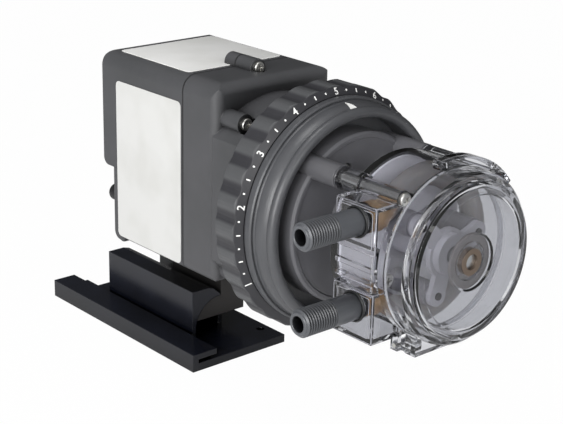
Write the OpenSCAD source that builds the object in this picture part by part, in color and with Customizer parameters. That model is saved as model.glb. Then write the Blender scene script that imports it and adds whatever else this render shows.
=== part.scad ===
// Peristaltic metering pump on its slide-on bracket.
// Origin: centre of the bracket's underside. +Z up, the pump head looks along -Y, +X is to the
// right seen from the head. Pieces on the pump axis are drawn along their own +Z, which axial()
// turns to point forward, so a station is a distance ahead of the plane y = 0.

/* [Bracket] */
// Width of the bracket plate
base_w = 71; // [66:1:90]
// Length of the bracket plate
base_l = 150; // [145:1:190]
// Thickness of the bracket plate
base_t = 5; // [4:0.5:6]
// Height of the side rail over the underside
rail_h = 11; // [10:0.5:13]
// Width of the side rail
rail_w = 17.5; // [14:0.5:19]
// Height of the slot under the rail's lip
slot_h = 2.4; // [1.5:0.1:3]
// Depth of the notch at the plate's rear end
notch_l = 13; // [6:1:20]
// Radius of the bracket's screw holes
base_hole_r = 2.6; // [2:0.1:3.2]
// Distance from a screw hole to the plate's edge
base_hole_edge = 6; // [5:0.5:9]
// Distance between the two screw holes
base_hole_pitch = 108; // [90:1:120]

/* [Saddle] */
// Distance of the arm's outer wall from the middle
arm_x = 15.3; // [14:0.1:16]
// Height of the arm's top over the underside
saddle_h = 37; // [35:0.5:38]
// Station of the arm's rear end, behind y = 0
saddle_rear = 40.5; // [30:0.5:42]
// Station of the arm's front end
saddle_front = 48; // [46:1:58]
// Wall of the arm at its foot
arm_wall = 2.6; // [2:0.1:3.5]
// Radius of the arm's vault
vault_r = 18.9; // [18:0.1:20]
// Thickness of the arm over its vault
arm_crown = 6.9; // [6.5:0.1:8]
// Distance of the arm's tip beyond the middle
arm_tip_x = 5.9; // [4:0.1:6.2]
// Height of the slide foot's lower face over the underside
foot_z = 17; // [15:0.5:18]
// Width of the slide foot's neck
foot_neck_w = 18; // [14:0.5:20]
// Station of the slide foot's rear end, behind y = 0
foot_rear = 2; // [0:0.5:4]
// Play between the slide foot and the bracket
slide_gap = 0.25; // [0.15:0.05:0.4]

/* [Motor housing] */
// Height of the pump axis over the underside
axis_z = 116; // [114:1:124]
// Width of the housing
case_w = 84; // [82:1:92]
// Housing top over the pump axis
case_up = 64; // [62:1:74]
// Housing underside below the pump axis
case_down = 50; // [50:1:54]
// Station of the upper rear face, behind y = 0
case_rear = 4; // [2:0.5:10]
// Step from the upper rear face to the lower one
rear_step = 17; // [12:1:17]
// Height of the rear step over the pump axis
rear_step_y = -5; // [-8:1:4]
// Length of the rear cover at its top
rear_cover_l = 77.5; // [77:0.5:78]
// Length of the front cover's box
front_cover_l = 29.5; // [28.5:0.5:32.5]
// Wall of the covers
case_wall = 3; // [2:0.2:3]
// Rounding of the long upper edges
top_r = 9; // [5:0.5:12]
// Rounding of the other edges
edge_r = 6; // [3:0.5:7]
// Radius of the round neck in front of the housing
neck_r = 55; // [52:0.5:58]
// Length of the round neck
neck_l = 31; // [29:1:31]
// Radius of the housing screw bosses
boss_r = 5.4; // [5:0.1:6]
// Sideways distance of the corner bosses from the axis
boss_x = 33; // [32:0.5:34]
// Height of the upper corner bosses over the axis
boss_up = 45; // [44:0.5:46]
// Depth of the lower corner bosses below the axis
boss_down = 42; // [41:0.5:43]
// Length of the corner bosses ahead of the front face
boss_l = 14; // [10:1:18]
// Radius of the cord gland
gland_r = 5.2; // [4.5:0.1:6]
// Radius of the cord's way through the gland
gland_bore_r = 3; // [2:0.1:3.5]

/* [Motor] */
// Radius of the motor shaft
motor_shaft_r = 3; // [2.5:0.1:3]
// Radius of the rotor
rotor_r = 13; // [11:0.5:13]
// Gap between the rotor and the stator
air_gap = 0.4; // [0.3:0.05:0.6]
// Distance of the stator from the lower rear face
stator_set = 14; // [13:0.5:15]
// Thickness of the stator's stack
stator_l = 36; // [30:1:37]
// Width of the stator
stator_w = 72; // [64:1:72]
// Thickness of the coil round its leg
coil_t = 9; // [6:0.5:9]
// Distance of the gear plate from the seam
gear_plate_set = 2.5; // [1.5:0.5:2.5]
// Thickness of the gear plate
gear_plate_t = 3; // [2:0.5:3]

/* [Gear train] */
// Module of the gears
gear_m = 0.8; // [0.7:0.02:0.84]
// Teeth of each pinion
pinion_n = 14; // [14:1:16]
// Teeth of each wheel
wheel_n = 46; // [40:1:46]
// Face width of the wheels
wheel_t = 4; // [3:0.25:4]
// Radius of the idler posts
post_r = 2; // [1.5:0.1:2.2]
// Play of a running fit on the radius
run_gap = 0.05; // [0.03:0.01:0.09]
// Radius of the drive shaft
drive_r = 5; // [4:0.1:5.4]

/* [Feed dial] */
// Radius over the dial ring's grip
dial_r = 68.2; // [66:0.2:72]
// Depth of a scallop
scallop_h = 1.5; // [0.8:0.1:2]
// Number of scallops
scallop_n = 28; // [24:1:36]
// Gap between the neck and the dial ring
dial_set = 1; // [1:0.5:3]
// Length of the dial ring's grip
grip_l = 15; // [13:0.5:15.5]
// Length of the sloping number face
number_l = 2.5; // [2:0.1:3]
// Radius of the bezel's hub that the dial ring turns on
hub_r = 56.9; // [56:0.1:57]
// Radius of the bezel's flange
flange_r = 62.7; // [62:0.1:63.4]
// Length of the bezel from its flange to its lip
bezel_l = 18.6; // [17.2:0.2:20.2]
// Radius of the bezel's front lip
lip_r = 54.4; // [54:0.1:56]
// Distance of the recess floor from the flange's rear face
recess_floor = 2.7; // [2.7:0.1:4.2]

/* [Head bracket] */
// Radius of the bracket disc
disc_r = 47.3; // [46.5:0.1:47.6]
// Height of the bracket disc over the recess floor
disc_h = 16.5; // [16:0.25:17.5]
// Radius of the three posts
head_post_r = 6.2; // [5.6:0.1:6.2]
// Radius of the circle the posts stand on
head_post_pcd_r = 45.5; // [45:0.25:46]
// Length of the posts ahead of the disc
head_post_l = 19; // [16:0.5:20]
// Radius of the shaft tower on the disc
tower_r = 17; // [14:0.5:20]

/* [Pump head] */
// Radius of the clear tube housing
head_r = 45; // [44.6:0.1:46]
// Wall of the clear tube housing
head_wall = 3; // [2.4:0.1:3.2]
// Distance of the tube housing's back from the posts' ends
head_set = 8; // [7:0.5:9]
// Length of the tube housing
head_l = 37; // [36.5:0.25:38]
// Left face of the port boxes from the axis
port_x = 47; // [46.4:0.2:50]
// Distance of the port boxes from the tube housing's back
port_set = 5; // [4:0.5:6]
// Depth of the port boxes
port_deep = 28; // [27:0.5:29]
// Wall of the port boxes
port_wall = 2.4; // [2:0.1:2.6]
// Distance of both ports above and below the axis
port_y = 22; // [21:0.5:23]
// Height of a port box over its port
port_over = 9.6; // [9:0.1:10]
// Height of the upper port box
upper_port_h = 24.6; // [20:0.2:25]
// Height of the lower port box
lower_port_h = 26.6; // [20:0.2:27]
// Radius of the pump tube
tube_r = 6.2; // [5.5:0.1:6.4]
// Wall of the pump tube
tube_wall = 2; // [1.2:0.1:2.4]
// Radius of the pump tube's track round the axis
track_r = 35.5; // [35:0.1:35.6]
// Distance of the pump tube's centre line from the housing's back
tube_set = 20; // [19:0.5:21]
// Radius of the bends beside the ports
bend_r = 14; // [12:0.5:15]
// Radius of a fitting's thread over its crests
thread_r = 7.1; // [6.6:0.1:7.4]
// Radius of a fitting's barrel
barrel_r = 6.9; // [6.4:0.1:7]
// Pitch of a fitting's thread
thread_pitch = 1.6; // [1.2:0.1:2]
// Length of a fitting's thread
thread_l = 20; // [14:1:22]
// Distance from the axis to a fitting's tip
fitting_tip_x = 84; // [78:1:92]
// Radius of the bore in the fittings
fitting_bore_r = 2.6; // [2:0.1:3]

/* [Rollers and cover] */
// Radius of a roller
roller_r = 6.2; // [5.5:0.1:6.2]
// Radius of the circle the rollers stand on
roller_pcd_r = 22.7; // [21.5:0.1:22.7]
// Radius of a roller's axle
axle_r = 2; // [1.5:0.1:2.6]
// Angle of the first roller at rest
roller_angle = 16; // [0:2:118]
// Radius of the roller carrier's arms at their ends
arm_r = 5.6; // [4.8:0.1:6]
// Radius of the cover's rim
cover_r = 44.6; // [44:0.1:45]
// Radius of the cover's raised drum
drum_r = 40.6; // [40:0.1:41.4]
// Radius of the cover's sunk face
face_r = 34.3; // [33:0.1:35]
// Length of the cover ahead of the tube housing
cover_l = 18; // [17:0.5:20]
// Length of the cover's rim ahead of the tube housing
rim_l = 13; // [12:0.25:14]
// Wall of the cover
cover_wall = 3; // [2:0.2:3.4]
// Radius of the shaft's end in the cover bearing
stub_r = 4; // [3:0.1:4.4]
// Radius of the cover bearing
bush_r = 7; // [6:0.1:8]

/* [Hidden] */
$fn = 96;
eps = 0.01;
seat_gap = 0.3;
pi_deg = 180 / PI;

// Stations along the pump axis
seam_d = rear_cover_l - case_rear;
case_front = seam_d + front_cover_l;
neck_front = case_front + neck_l;
stator_d = rear_step - case_rear + stator_set;
gear_plate_d = seam_d + gear_plate_set;
dial_rear = neck_front + dial_set;
dial_face_d = dial_rear + grip_l;
number_d = dial_face_d + number_l;
flange_d = number_d + seat_gap;
lip_d = flange_d + bezel_l;
recess_d = flange_d + recess_floor;
disc_d = recess_d + disc_h;
head_post_d = disc_d + head_post_l;
head_back = head_post_d + head_set;
head_front = head_back + head_l;
port_rear = head_back + port_set;
port_front = port_rear + port_deep;
tube_d = head_back + tube_set;
cover_front = head_front + cover_l;
rim_front = head_front + rim_l;

// Points that several pieces share
gear_a = gear_m * (pinion_n + wheel_n) / 2;
idler_1 = [gear_a * cos(60), gear_a * sin(60)];
idler_2 = [gear_a * cos(120), gear_a * sin(120)];
wheel_1_d = gear_plate_d + gear_plate_t + seat_gap;
wheel_2_d = wheel_1_d + wheel_t + 1.2;
wheel_3_d = wheel_2_d + wheel_t + 1.2;
gear_end_d = wheel_3_d + wheel_t + 1;
head_angles = [132, 48, 270];
carrier_back = head_back + head_wall + 2.2;
carrier_t = 3;
roller_back = carrier_back + carrier_t + 0.4;
roller_front = head_front - 4.6;
carrier_front = roller_front + 0.4;
roller_l = roller_front - roller_back;
boss_spots = [[-boss_x, boss_up], [boss_x, boss_up], [-boss_x, -boss_down], [boss_x, -boss_down]];
bore_r = rotor_r + air_gap;
leg_top = -bore_r - 14;
leg_h = 9;
stator_top = bore_r + 14;
bearing_r = motor_shaft_r + 4;
drive_bush_r = drive_r + 4;
screw_r = 1.8;
disc_screw_pcd_r = 30;
shaft_bearing_l = 14;
index_r = 24;
index_t = 4;
motor_set = 10;
motor_bar_h = 18;
latch_pin_r = 1.2;

// Draws its children along the pump axis, +Z forward
module axial() translate([0, 0, axis_z]) rotate([90, 0, 0]) children();

// A rod on the local axis between two stations
module rod(r, d0, d1) translate([0, 0, d0]) cylinder(r = r, h = d1 - d0);

// A tube on the local axis between two stations
module pipe(r_out, r_in, d0, d1)
    difference() {
        rod(r_out, d0, d1);
        rod(r_in, d0 - 1, d1 + 1);
    }

// A rectangle between two corners whose four corners are rounded
module rounded(x0, y0, x1, y1, r)
    union() {
        translate([x0 + r, y0]) square([x1 - x0 - 2 * r, y1 - y0]);
        translate([x0, y0 + r]) square([x1 - x0, y1 - y0 - 2 * r]);
        for (x = [x0 + r, x1 - r], y = [y0 + r, y1 - r]) translate([x, y]) circle(r = r, $fn = 48);
    }

// Cross section of the housing, drawn in by the given inset
module case_section(inset = 0)
    union() {
        rounded(-case_w / 2 + inset, -case_down + inset, case_w / 2 - inset, case_up - inset,
            max(edge_r - inset, 1));
        // the upper corners carry the larger rounding
        intersection() {
            rounded(-case_w / 2 + inset, -case_down + inset, case_w / 2 - inset, case_up - inset,
                max(top_r - inset, 1));
            translate([-case_w / 2, 0]) square([case_w, case_up]);
        }
    }

// The same section with the larger rounding cut into its upper corners
module case_outline(inset = 0)
    intersection() {
        case_section(inset);
        union() {
            rounded(-case_w / 2 + inset, -case_down + inset - 2 * top_r, case_w / 2 - inset,
                case_up - inset, top_r - inset);
            translate([-case_w / 2, -case_down]) square([case_w, case_down]);
        }
    }

// A pan-head screw whose head looks forward, from its tip to the head's face
module screw(d0, d1, r = screw_r, head_r = 3.4, head_h = 2.2)
    difference() {
        union() {
            rod(r, d0, d1 - head_h + eps);
            translate([0, 0, d1 - head_h]) rotate_extrude() {
                square([head_r - 0.8, head_h]);
                square([head_r, head_h - 0.8]);
                translate([head_r - 0.8, head_h - 0.8]) circle(r = 0.8, $fn = 24);
            }
        }
        // cross recess
        for (a = [0, 90]) rotate(a) translate([-head_r * 0.55, -0.45, d1 - 1.1]) cube([head_r * 1.1, 0.9, 2]);
    }

// Angle in degrees that an involute has turned through at radius r over its base circle
function involute_angle(rb, r) = sqrt(pow(r / rb, 2) - 1) * pi_deg - acos(rb / r);

// One flank's point: radius r at the half thickness that the tooth has there
function flank(rb, r, half, side) =
    let (rr = max(r, rb), a = side * (half - involute_angle(rb, rr)))
    [r * cos(a), r * sin(a)];

pressure = 25;
backlash = 0.06;
flank_steps = 5;

// Involute spur gear drawn as one closed outline, with stub teeth and a little backlash
module gear_outline(n)
    let (
        rp = gear_m * n / 2,
        rb = rp * cos(pressure),
        ra = rp + 0.8 * gear_m,
        rf = rp - 1.05 * gear_m,
        half = 90 / n - backlash / rp * pi_deg + involute_angle(rb, rp),
        radii = concat([rf], [for (i = [0 : flank_steps]) max(rb, rf) + (ra - max(rb, rf)) * i / flank_steps])
    )
    polygon([
        for (t = [0 : n - 1]) each [
            for (i = [0 : len(radii) - 1])
                let (p = flank(rb, radii[i], half, -1), c = cos(360 * t / n), s = sin(360 * t / n))
                [p[0] * c - p[1] * s, p[0] * s + p[1] * c],
            for (i = [len(radii) - 1 : -1 : 0])
                let (p = flank(rb, radii[i], half, 1), c = cos(360 * t / n), s = sin(360 * t / n))
                [p[0] * c - p[1] * s, p[0] * s + p[1] * c]
        ]
    ]);

// A gear blank with teeth at the given phase
module gear(n, d0, d1, phase = 0)
    translate([0, 0, d0]) rotate(phase) linear_extrude(d1 - d0) gear_outline(n);

// Phase that puts a driven gear's gap on the line to its driver, whose tooth points along it
function mesh_phase(n_to, n_from, phase_from, direction) =
    direction + 180 - 180 / n_to + (direction - phase_from) * n_from / n_to;

phase_1 = mesh_phase(wheel_n, pinion_n, 0, 60);
phase_1p = 0;
phase_2 = mesh_phase(wheel_n, pinion_n, phase_1p, 180);
phase_2p = 0;
phase_3 = mesh_phase(wheel_n, pinion_n, phase_2p, 300);

module mounting_bracket() {
    color("#23252c") {
        difference() {
            union() {
                // plate with its stepped rear end
                translate([-base_w / 2, -base_l / 2, 0]) cube([base_w, base_l - notch_l, base_t]);
                translate([-base_w / 2, -base_l / 2, 0]) cube([rail_w - 2, base_l, base_t]);
                // side rail with its lip
                translate([-base_w / 2, -base_l / 2, base_t - eps])
                    cube([4, base_l, rail_h - base_t + eps]);
                translate([-base_w / 2, -base_l / 2, base_t + slot_h])
                    cube([rail_w - 2, base_l, rail_h - base_t - slot_h]);
                translate([-base_w / 2, -base_l / 2, base_t + slot_h])
                    cube([rail_w, base_l - notch_l, rail_h - base_t - slot_h]);
            }
            for (y = [-base_hole_pitch / 2, base_hole_pitch / 2])
                translate([base_w / 2 - base_hole_edge, y - 5, -1]) cylinder(r = base_hole_r, h = base_t + 2);
        }
        saddle();
        foot_guides();
    }
}

// Left face of the slide foot's neck, and the middle of the vault
foot_x0 = arm_tip_x + 1.1;
vault_x = vault_r - arm_x + arm_wall;
vault_z = saddle_h - arm_crown - vault_r;

// Draws a section of (x, z) from a rear station to a front station
module along_y(rear, front)
    translate([0, rear, 0]) rotate([90, 0, 0]) linear_extrude(rear + front) children();

// Vaulted arm that holds the slide foot down
module saddle()
    along_y(saddle_rear, saddle_front) difference() {
        polygon([
            [-arm_x, base_t - eps], [-arm_x, saddle_h], [-arm_x + 11.4, saddle_h],
            [arm_tip_x - 5.3, saddle_h - 1.2], [arm_tip_x, saddle_h - 5.8], [arm_tip_x, base_t - eps]
        ]);
        translate([vault_x, vault_z]) circle(r = vault_r);
        translate([-arm_x + arm_wall, 0]) square([2 * arm_x, vault_z]);
    }

// Ribs that carry the slide foot, the guide at its right and the stop behind it
module foot_guides() {
    guide_x = foot_x0 + foot_neck_w + slide_gap;
    for (x = [-8, 14]) translate([x, -saddle_front + 12, base_t - eps])
        cube([3, saddle_front + saddle_rear - 12, foot_z - slide_gap - base_t + eps]);
    translate([guide_x, -20, base_t - eps]) cube([3, 20 + saddle_rear, foot_z + 9 - base_t]);
    translate([-8, foot_rear + slide_gap, base_t - eps]) cube([25, 4, foot_z + 9 - base_t]);
}

// Foot under the housing: a neck, and a hook that slides under the arm's vault
module slide_foot() {
    color("#2c2d30") along_y(foot_rear, saddle_front - 0.5) {
        translate([foot_x0, foot_z]) square([foot_neck_w, axis_z - case_down - foot_z]);
        intersection() {
            translate([vault_x, vault_z]) circle(r = vault_r - slide_gap - 0.05);
            translate([-arm_x + arm_wall + slide_gap, foot_z])
                square([foot_x0 + eps + arm_x - arm_wall - slide_gap, saddle_h]);
        }
    }
}

// Side view of the rear cover, stepped at its lower rear
module rear_profile(inset = 0) {
    step_d = -case_rear + rear_step;
    rounded(-case_rear + inset, rear_step_y + inset, seam_d + 20, case_up - inset, max(top_r - inset, 1) / 2);
    rounded(step_d + inset, -case_down + inset, seam_d + 20, case_up - inset, max(edge_r - inset, 1) / 2);
}

module rear_cover() {
    color("#4c4d4f") axial() {
        difference() {
            intersection() {
                translate([0, 0, -case_rear]) linear_extrude(seam_d + case_rear) case_outline();
                rotate([0, -90, 0]) translate([0, 0, -case_w / 2]) linear_extrude(case_w) rear_profile();
            }
            intersection() {
                translate([0, 0, -case_rear]) linear_extrude(seam_d + case_rear + 1) case_outline(case_wall);
                rotate([0, -90, 0]) translate([0, 0, -case_w / 2]) linear_extrude(case_w)
                    rear_profile(case_wall);
            }
            // way in for the cord
            translate([gland_x, gland_y, -case_rear]) cylinder(r = gland_r - 1, h = 40);
            translate([0, case_up + 1.6, 0]) rod(screw_r + run_gap, seam_d - 6, seam_d + 1);
        }
        stator_ribs();
        // posts that the housing screws end in
        difference() {
            for (s = [-1, 1], y = [boss_up, -boss_down]) {
                translate([s * boss_x - boss_r, y - boss_r, seam_d - 18]) cube([2 * boss_r, 2 * boss_r, 18]);
                translate([s > 0 ? boss_x : -case_w / 2 + case_wall - eps, y - 2, seam_d - 18])
                    cube([case_w / 2 - case_wall - boss_x + eps, 4, 18]);
            }
            for (p = boss_spots) translate(p) rod(screw_r, seam_d - 17, seam_d + 1);
        }
        // rear half of the top screw boss
        top_boss(seam_d - 9, seam_d);
    }
}

gland_y = -24;
gland_x = -case_w / 2 + case_wall + gland_r - 0.8;

// Ribs on the side walls that hold the stator
module stator_ribs()
    for (s = [-1, 1], y = [-22, 12])
        translate([s > 0 ? stator_w / 2 + seat_gap : -case_w / 2 + case_wall - eps, y, stator_d])
            cube([(case_w - stator_w) / 2 - case_wall - seat_gap + eps, 6, stator_l]);

// Half-round boss on the housing's top
module top_boss(d0, d1)
    difference() {
        intersection() {
            translate([0, case_up + 1, 0]) rod(boss_r, d0, d1);
            translate([-boss_r, case_up - eps, d0]) cube([2 * boss_r, 2 * boss_r, d1 - d0]);
        }
        translate([0, case_up + 1.6, 0]) rod(screw_r + run_gap, d0 + 3, d1 + 1);
    }

module front_cover() {
    rise = neck_front - case_front;
    color("#525355") axial() {
        difference() {
            union() {
                intersection() {
                    translate([0, 0, seam_d]) linear_extrude(case_front - seam_d) case_outline();
                    rotate([0, -90, 0]) translate([0, 0, -case_w / 2]) linear_extrude(case_w)
                        rounded(seam_d - 20, -case_down, case_front, case_up, edge_r);
                    rotate([90, 0, 0]) translate([0, 0, -case_up]) linear_extrude(case_up + case_down)
                        rounded(-case_w / 2, seam_d - 20, case_w / 2, case_front, edge_r);
                }
                // round neck, cut flat in line with the housing's sides
                intersection() {
                    rod(neck_r, case_front - case_wall, neck_front);
                    translate([-case_w / 2, -case_down, case_front - case_wall])
                        cube([case_w, case_up + case_down, rise + case_wall]);
                }
                top_boss(seam_d, seam_d + 14);
                for (p = boss_spots) translate(p) rod(boss_r, case_front - 2, case_front + boss_l);
            }
            // room for the gears, with a post under each corner boss
            translate([0, 0, seam_d - 1]) linear_extrude(case_front - case_wall - seam_d + 1) difference() {
                case_outline(case_wall);
                for (p = boss_spots) translate(p) circle(r = boss_r);
            }
            // room for the feed mechanism in the neck
            rod(neck_hollow_r, case_front, neck_front + 1);
            rod(drive_bush_r + run_gap, case_front - case_wall - 1, case_front + 1);
            // screw ways
            translate([0, case_up + 1.6, 0]) rod(screw_r + run_gap, seam_d - 1, seam_d + 20);
            for (p = boss_spots) translate(p) {
                rod(screw_r + run_gap, seam_d - 1, case_front + boss_l + 1);
                rod(boss_r + 0.5, case_front + boss_l, neck_front + 1);
            }
            translate([0, case_up + 1.6, 0]) rod(3.7, seam_d + 14, seam_d + 19);
        }
    }
}

neck_hollow_r = 38;

module cord_gland() {
    color("#1c1d1f") axial() translate([gland_x, gland_y, 0])
        difference() {
            union() {
                rod(gland_r - 1 - run_gap, rear_wall_d - eps, rear_wall_d + case_wall + 2);
                translate([0, 0, rear_wall_d]) rotate([180, 0, 0]) rotate_extrude() {
                    square([gland_r, gland_l - 2]);
                    square([gland_r - 2, gland_l]);
                    translate([gland_r - 2, gland_l - 2]) circle(r = 2, $fn = 32);
                }
            }
            rod(gland_bore_r, rear_wall_d - gland_l - 1, rear_wall_d + case_wall + 3);
        }
}

gland_l = 17;
rear_wall_d = -case_rear + rear_step;

module housing_screws() {
    color("#c9c8c4") axial() {
        translate([0, case_up + 1.6, 0]) screw(seam_d - 5, seam_d + 14 + 2.2);
        for (p = boss_spots) translate(p) screw(seam_d - 14, case_front + boss_l + 2.2);
    }
}

// Section of the stator: a frame with the rotor's bore and the coil's window
module stator_outline()
    difference() {
        translate([-stator_w / 2, leg_top - leg_h]) square([stator_w, stator_top - leg_top + leg_h]);
        circle(r = bore_r);
        translate([-coil_half_w - 1, leg_top]) square([2 * coil_half_w + 2, coil_t + 1]);
    }

coil_half_w = 22;

module stator_core() {
    color("#77787a") axial() translate([0, 0, stator_d]) linear_extrude(stator_l) stator_outline();
}

// Coil wound round the stator's lower leg
module field_coil() {
    color("#a5662c") axial() rotate([90, 0, 90]) translate([0, 0, -coil_half_w])
        linear_extrude(2 * coil_half_w) difference() {
            translate([leg_top - leg_h - coil_low_t, stator_d - coil_t])
                square([leg_h + coil_low_t + coil_t + 0.4, stator_l + 2 * coil_t]);
            translate([leg_top - leg_h - 0.1, stator_d - 0.1]) square([leg_h + 0.2, stator_l + 0.2]);
        }
}

coil_low_t = case_down - case_wall + leg_top - leg_h - seat_gap;

// Bridges that carry the motor's bearings, behind and ahead of the stator
module motor_brackets() {
    rear_d = stator_d - motor_set;
    color("#b9bbbd") axial() {
        difference() {
            union() {
                translate([-stator_w / 2 + 2, -motor_bar_h / 2, rear_d]) cube([stator_w - 4, motor_bar_h, 2.5]);
                for (s = [-1, 1])
                    translate([s * (stator_w / 2 - 4) - 2, -motor_bar_h / 2, rear_d])
                        cube([4, motor_bar_h, motor_set]);
            }
            rod(bearing_r, rear_d - 1, rear_d + 4);
        }
        // pillars from the stator to the gear plate
        for (x = [-stator_w / 2 + 5, stator_w / 2 - 5], y = [leg_top - leg_h / 2, stator_top - 5])
            translate([x, y, 0]) rod(3, stator_d + stator_l, gear_plate_d);
    }
}

module motor_bearings() {
    rear_d = stator_d - motor_set;
    color("#9b7a4a") axial() {
        pipe(bearing_r, motor_shaft_r + run_gap, rear_d - 0.5, rear_d + 2.5);
        pipe(bearing_r, motor_shaft_r + run_gap, gear_plate_d - 1.5, gear_plate_d + gear_plate_t);
    }
}

module rotor_core() {
    color("#8b8c8e") axial() difference() {
        pipe(rotor_r, motor_shaft_r, stator_d - 1, stator_d + stator_l + 1);
        // slots for the cage
        for (a = [0 : 30 : 330]) rotate(a) translate([rotor_r - 1, 0, 0])
            rod(0.8, stator_d - 2, stator_d + stator_l + 2);
    }
}

module motor_shaft() {
    color("#c4c6c8") axial() {
        rod(motor_shaft_r, stator_d - motor_set - 0.4, wheel_1_d + eps);
        gear(pinion_n, wheel_1_d, wheel_1_d + wheel_t + 0.4);
    }
}

// Plate across the housing that carries the gears
module gear_plate() {
    color("#aeb1b4") axial() {
        difference() {
            translate([0, 0, gear_plate_d]) linear_extrude(gear_plate_t) case_outline(case_wall + seat_gap);
            rod(bearing_r, gear_plate_d - 1, gear_plate_d + gear_plate_t + 1);
            for (p = boss_spots) translate(p)
                rod(boss_r + 2 * seat_gap, gear_plate_d - 1, gear_plate_d + gear_plate_t + 1);
        }
        for (p = [idler_1, idler_2]) translate(p) rod(post_r, gear_plate_d + gear_plate_t - eps, gear_end_d);
        // collar that the second gear runs against
        translate(idler_2) rod(post_r + 1.6, gear_plate_d + gear_plate_t - eps, wheel_2_d - seat_gap);
    }
}

// Compound gear: a wheel with a pinion ahead of it, bored for its post
module compound_gear(wheel_d, wheel_phase, pinion_phase)
    difference() {
        union() {
            gear(wheel_n, wheel_d, wheel_d + wheel_t, wheel_phase);
            gear(pinion_n, wheel_d + wheel_t - eps, wheel_d + 2 * wheel_t + 1.6, pinion_phase);
        }
        rod(post_r + run_gap, wheel_d - 1, wheel_d + 3 * wheel_t);
        // lightening ring in the wheel's rear face
        pipe(gear_m * wheel_n / 2 - 3, 7.5, wheel_d - 1, wheel_d + 1.2);
    }

module first_gear() {
    color("#e6dfcf") axial() translate(idler_1) compound_gear(wheel_1_d, phase_1, phase_1p);
}

module second_gear() {
    color("#e6dfcf") axial() translate(idler_2) compound_gear(wheel_2_d, phase_2, phase_2p);
}

module output_gear() {
    color("#e6dfcf") axial() difference() {
        gear(wheel_n, wheel_3_d, wheel_3_d + wheel_t, phase_3);
        rod(drive_r, wheel_3_d - 1, wheel_3_d + wheel_t + 1);
    }
}

module drive_shaft() {
    color("#bfc2c5") axial() {
        rod(drive_r, wheel_3_d - 0.4, carrier_front + carrier_t + 2);
        rod(stub_r, carrier_front + carrier_t + 2 - eps, cover_front - cover_wall - 0.4);
    }
}

// Plain bearing in the housing's front wall
module neck_bearing() {
    color("#a97b3f") axial() {
        pipe(drive_bush_r, drive_r + run_gap, case_front - case_wall, case_front + 4);
        pipe(drive_bush_r + 2.5, drive_r + run_gap, case_front, case_front + 1.5);
    }
}

index_d = case_front + 8;

// Toothed plate that the feed mechanism indexes
module index_plate() {
    color("#9fa2a5") axial() difference() {
        rod(index_r, index_d, index_d + index_t);
        for (a = [0 : 15 : 345]) rotate(a) translate([index_r, 0, 0]) rod(2, index_d - 1, index_d + index_t + 1);
        rod(drive_r, index_d - 1, index_d + index_t + 1);
    }
}

// Outline of the scalloped grip
module scallop_outline()
    polygon([
        for (i = [0 : 8 * scallop_n - 1])
            let (a = 360 * i / (8 * scallop_n), r = dial_r - scallop_h * (1 - cos(scallop_n * a)) / 2)
            [r * cos(a), r * sin(a)]
    ]);

module dial_ring() {
    color("#46474a") axial() difference() {
        intersection() {
            translate([0, 0, dial_rear]) linear_extrude(number_d - dial_rear) scallop_outline();
            rotate_extrude($fn = 180) polygon([
                [hub_r + run_gap, dial_rear], [dial_r - 1, dial_rear], [dial_r + 0.1, dial_rear + 1.2],
                [dial_r + 0.1, dial_face_d - 1], [dial_r - 1, dial_face_d], [flange_r + 0.3, number_d],
                [flange_r - 0.4, flange_d - seat_gap], [hub_r + run_gap, flange_d - seat_gap]
            ]);
        }
        // groove that the stop pin runs in
        rotate(dial_gap_from) rotate_extrude(angle = dial_gap_sweep, $fn = 180)
            translate([hub_r - 1, dial_rear - 1]) square([stop_h + 1.5, 5]);
    }
}

stop_h = 2.4;
// The groove spans the dial's travel: 1 at one end and 10 at the other
dial_to_10 = 114.9;
dial_to_1 = 132.4;
stop_angle = 270;
stop_half = 2.6;
dial_gap_from = stop_angle - dial_to_10 - stop_half;
dial_gap_sweep = dial_to_10 + dial_to_1 + 2 * stop_half;

// Pin on the bezel's hub that ends the dial's travel
module stop_pin() {
    color("#b4b6b8") axial() rotate(stop_angle) translate([hub_r - 4, 0, dial_rear + 1.9]) rotate([0, 90, 0])
        cylinder(r = 1.5, h = 4 + stop_h - 0.6);
}

// Revolved bezel: hub for the dial ring, flange, sloping face, lip and recess
module bezel() {
    nose_r = 3;
    color("#4a4b4e") axial() difference() {
        rotate_extrude($fn = 180) difference() {
            union() {
                polygon([
                    [tower_seat_r, neck_front], [hub_r, neck_front], [hub_r, flange_d], [flange_r, flange_d],
                    [flange_r + 0.3, flange_d + 1], [flange_r + 0.3, flange_d + 4.2],
                    [flange_r - 0.3, flange_d + 5], [flange_r - 0.9, flange_d + 5],
                    [flange_r - 0.9, flange_d + 4.4], [flange_r - 1.5, flange_d + 4.4],
                    [flange_r - 1.7, flange_d + 5.4],
                    for (i = [0 : 8])
                        let (t = i / 8)
                        [flange_r - 2 + (lip_r + nose_r - flange_r + 2) * t + 1.1 * sin(180 * t),
                            flange_d + 6 + (lip_d - nose_r - flange_d - 6) * t],
                    [lip_r, lip_d - nose_r], [lip_r, recess_d], [tower_seat_r, recess_d]
                ]);
                translate([lip_r + nose_r - 0.4, lip_d - nose_r]) circle(r = nose_r, $fn = 48);
            }
            // hollow behind the recess floor
            translate([tower_seat_r + 4, neck_front + 3])
                square([hub_r - tower_seat_r - 8, recess_d - neck_front - 6]);
        }
        rotate(stop_angle) translate([hub_r - 4, 0, dial_rear + 1.9]) rotate([0, 90, 0])
            cylinder(r = 1.5, h = 6);
        for (a = head_angles) rotate(a + 60) translate([disc_screw_pcd_r, 0, 0])
            rod(screw_r, recess_d - 3, recess_d + 1);
    }
}

tower_seat_r = 12;

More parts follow.
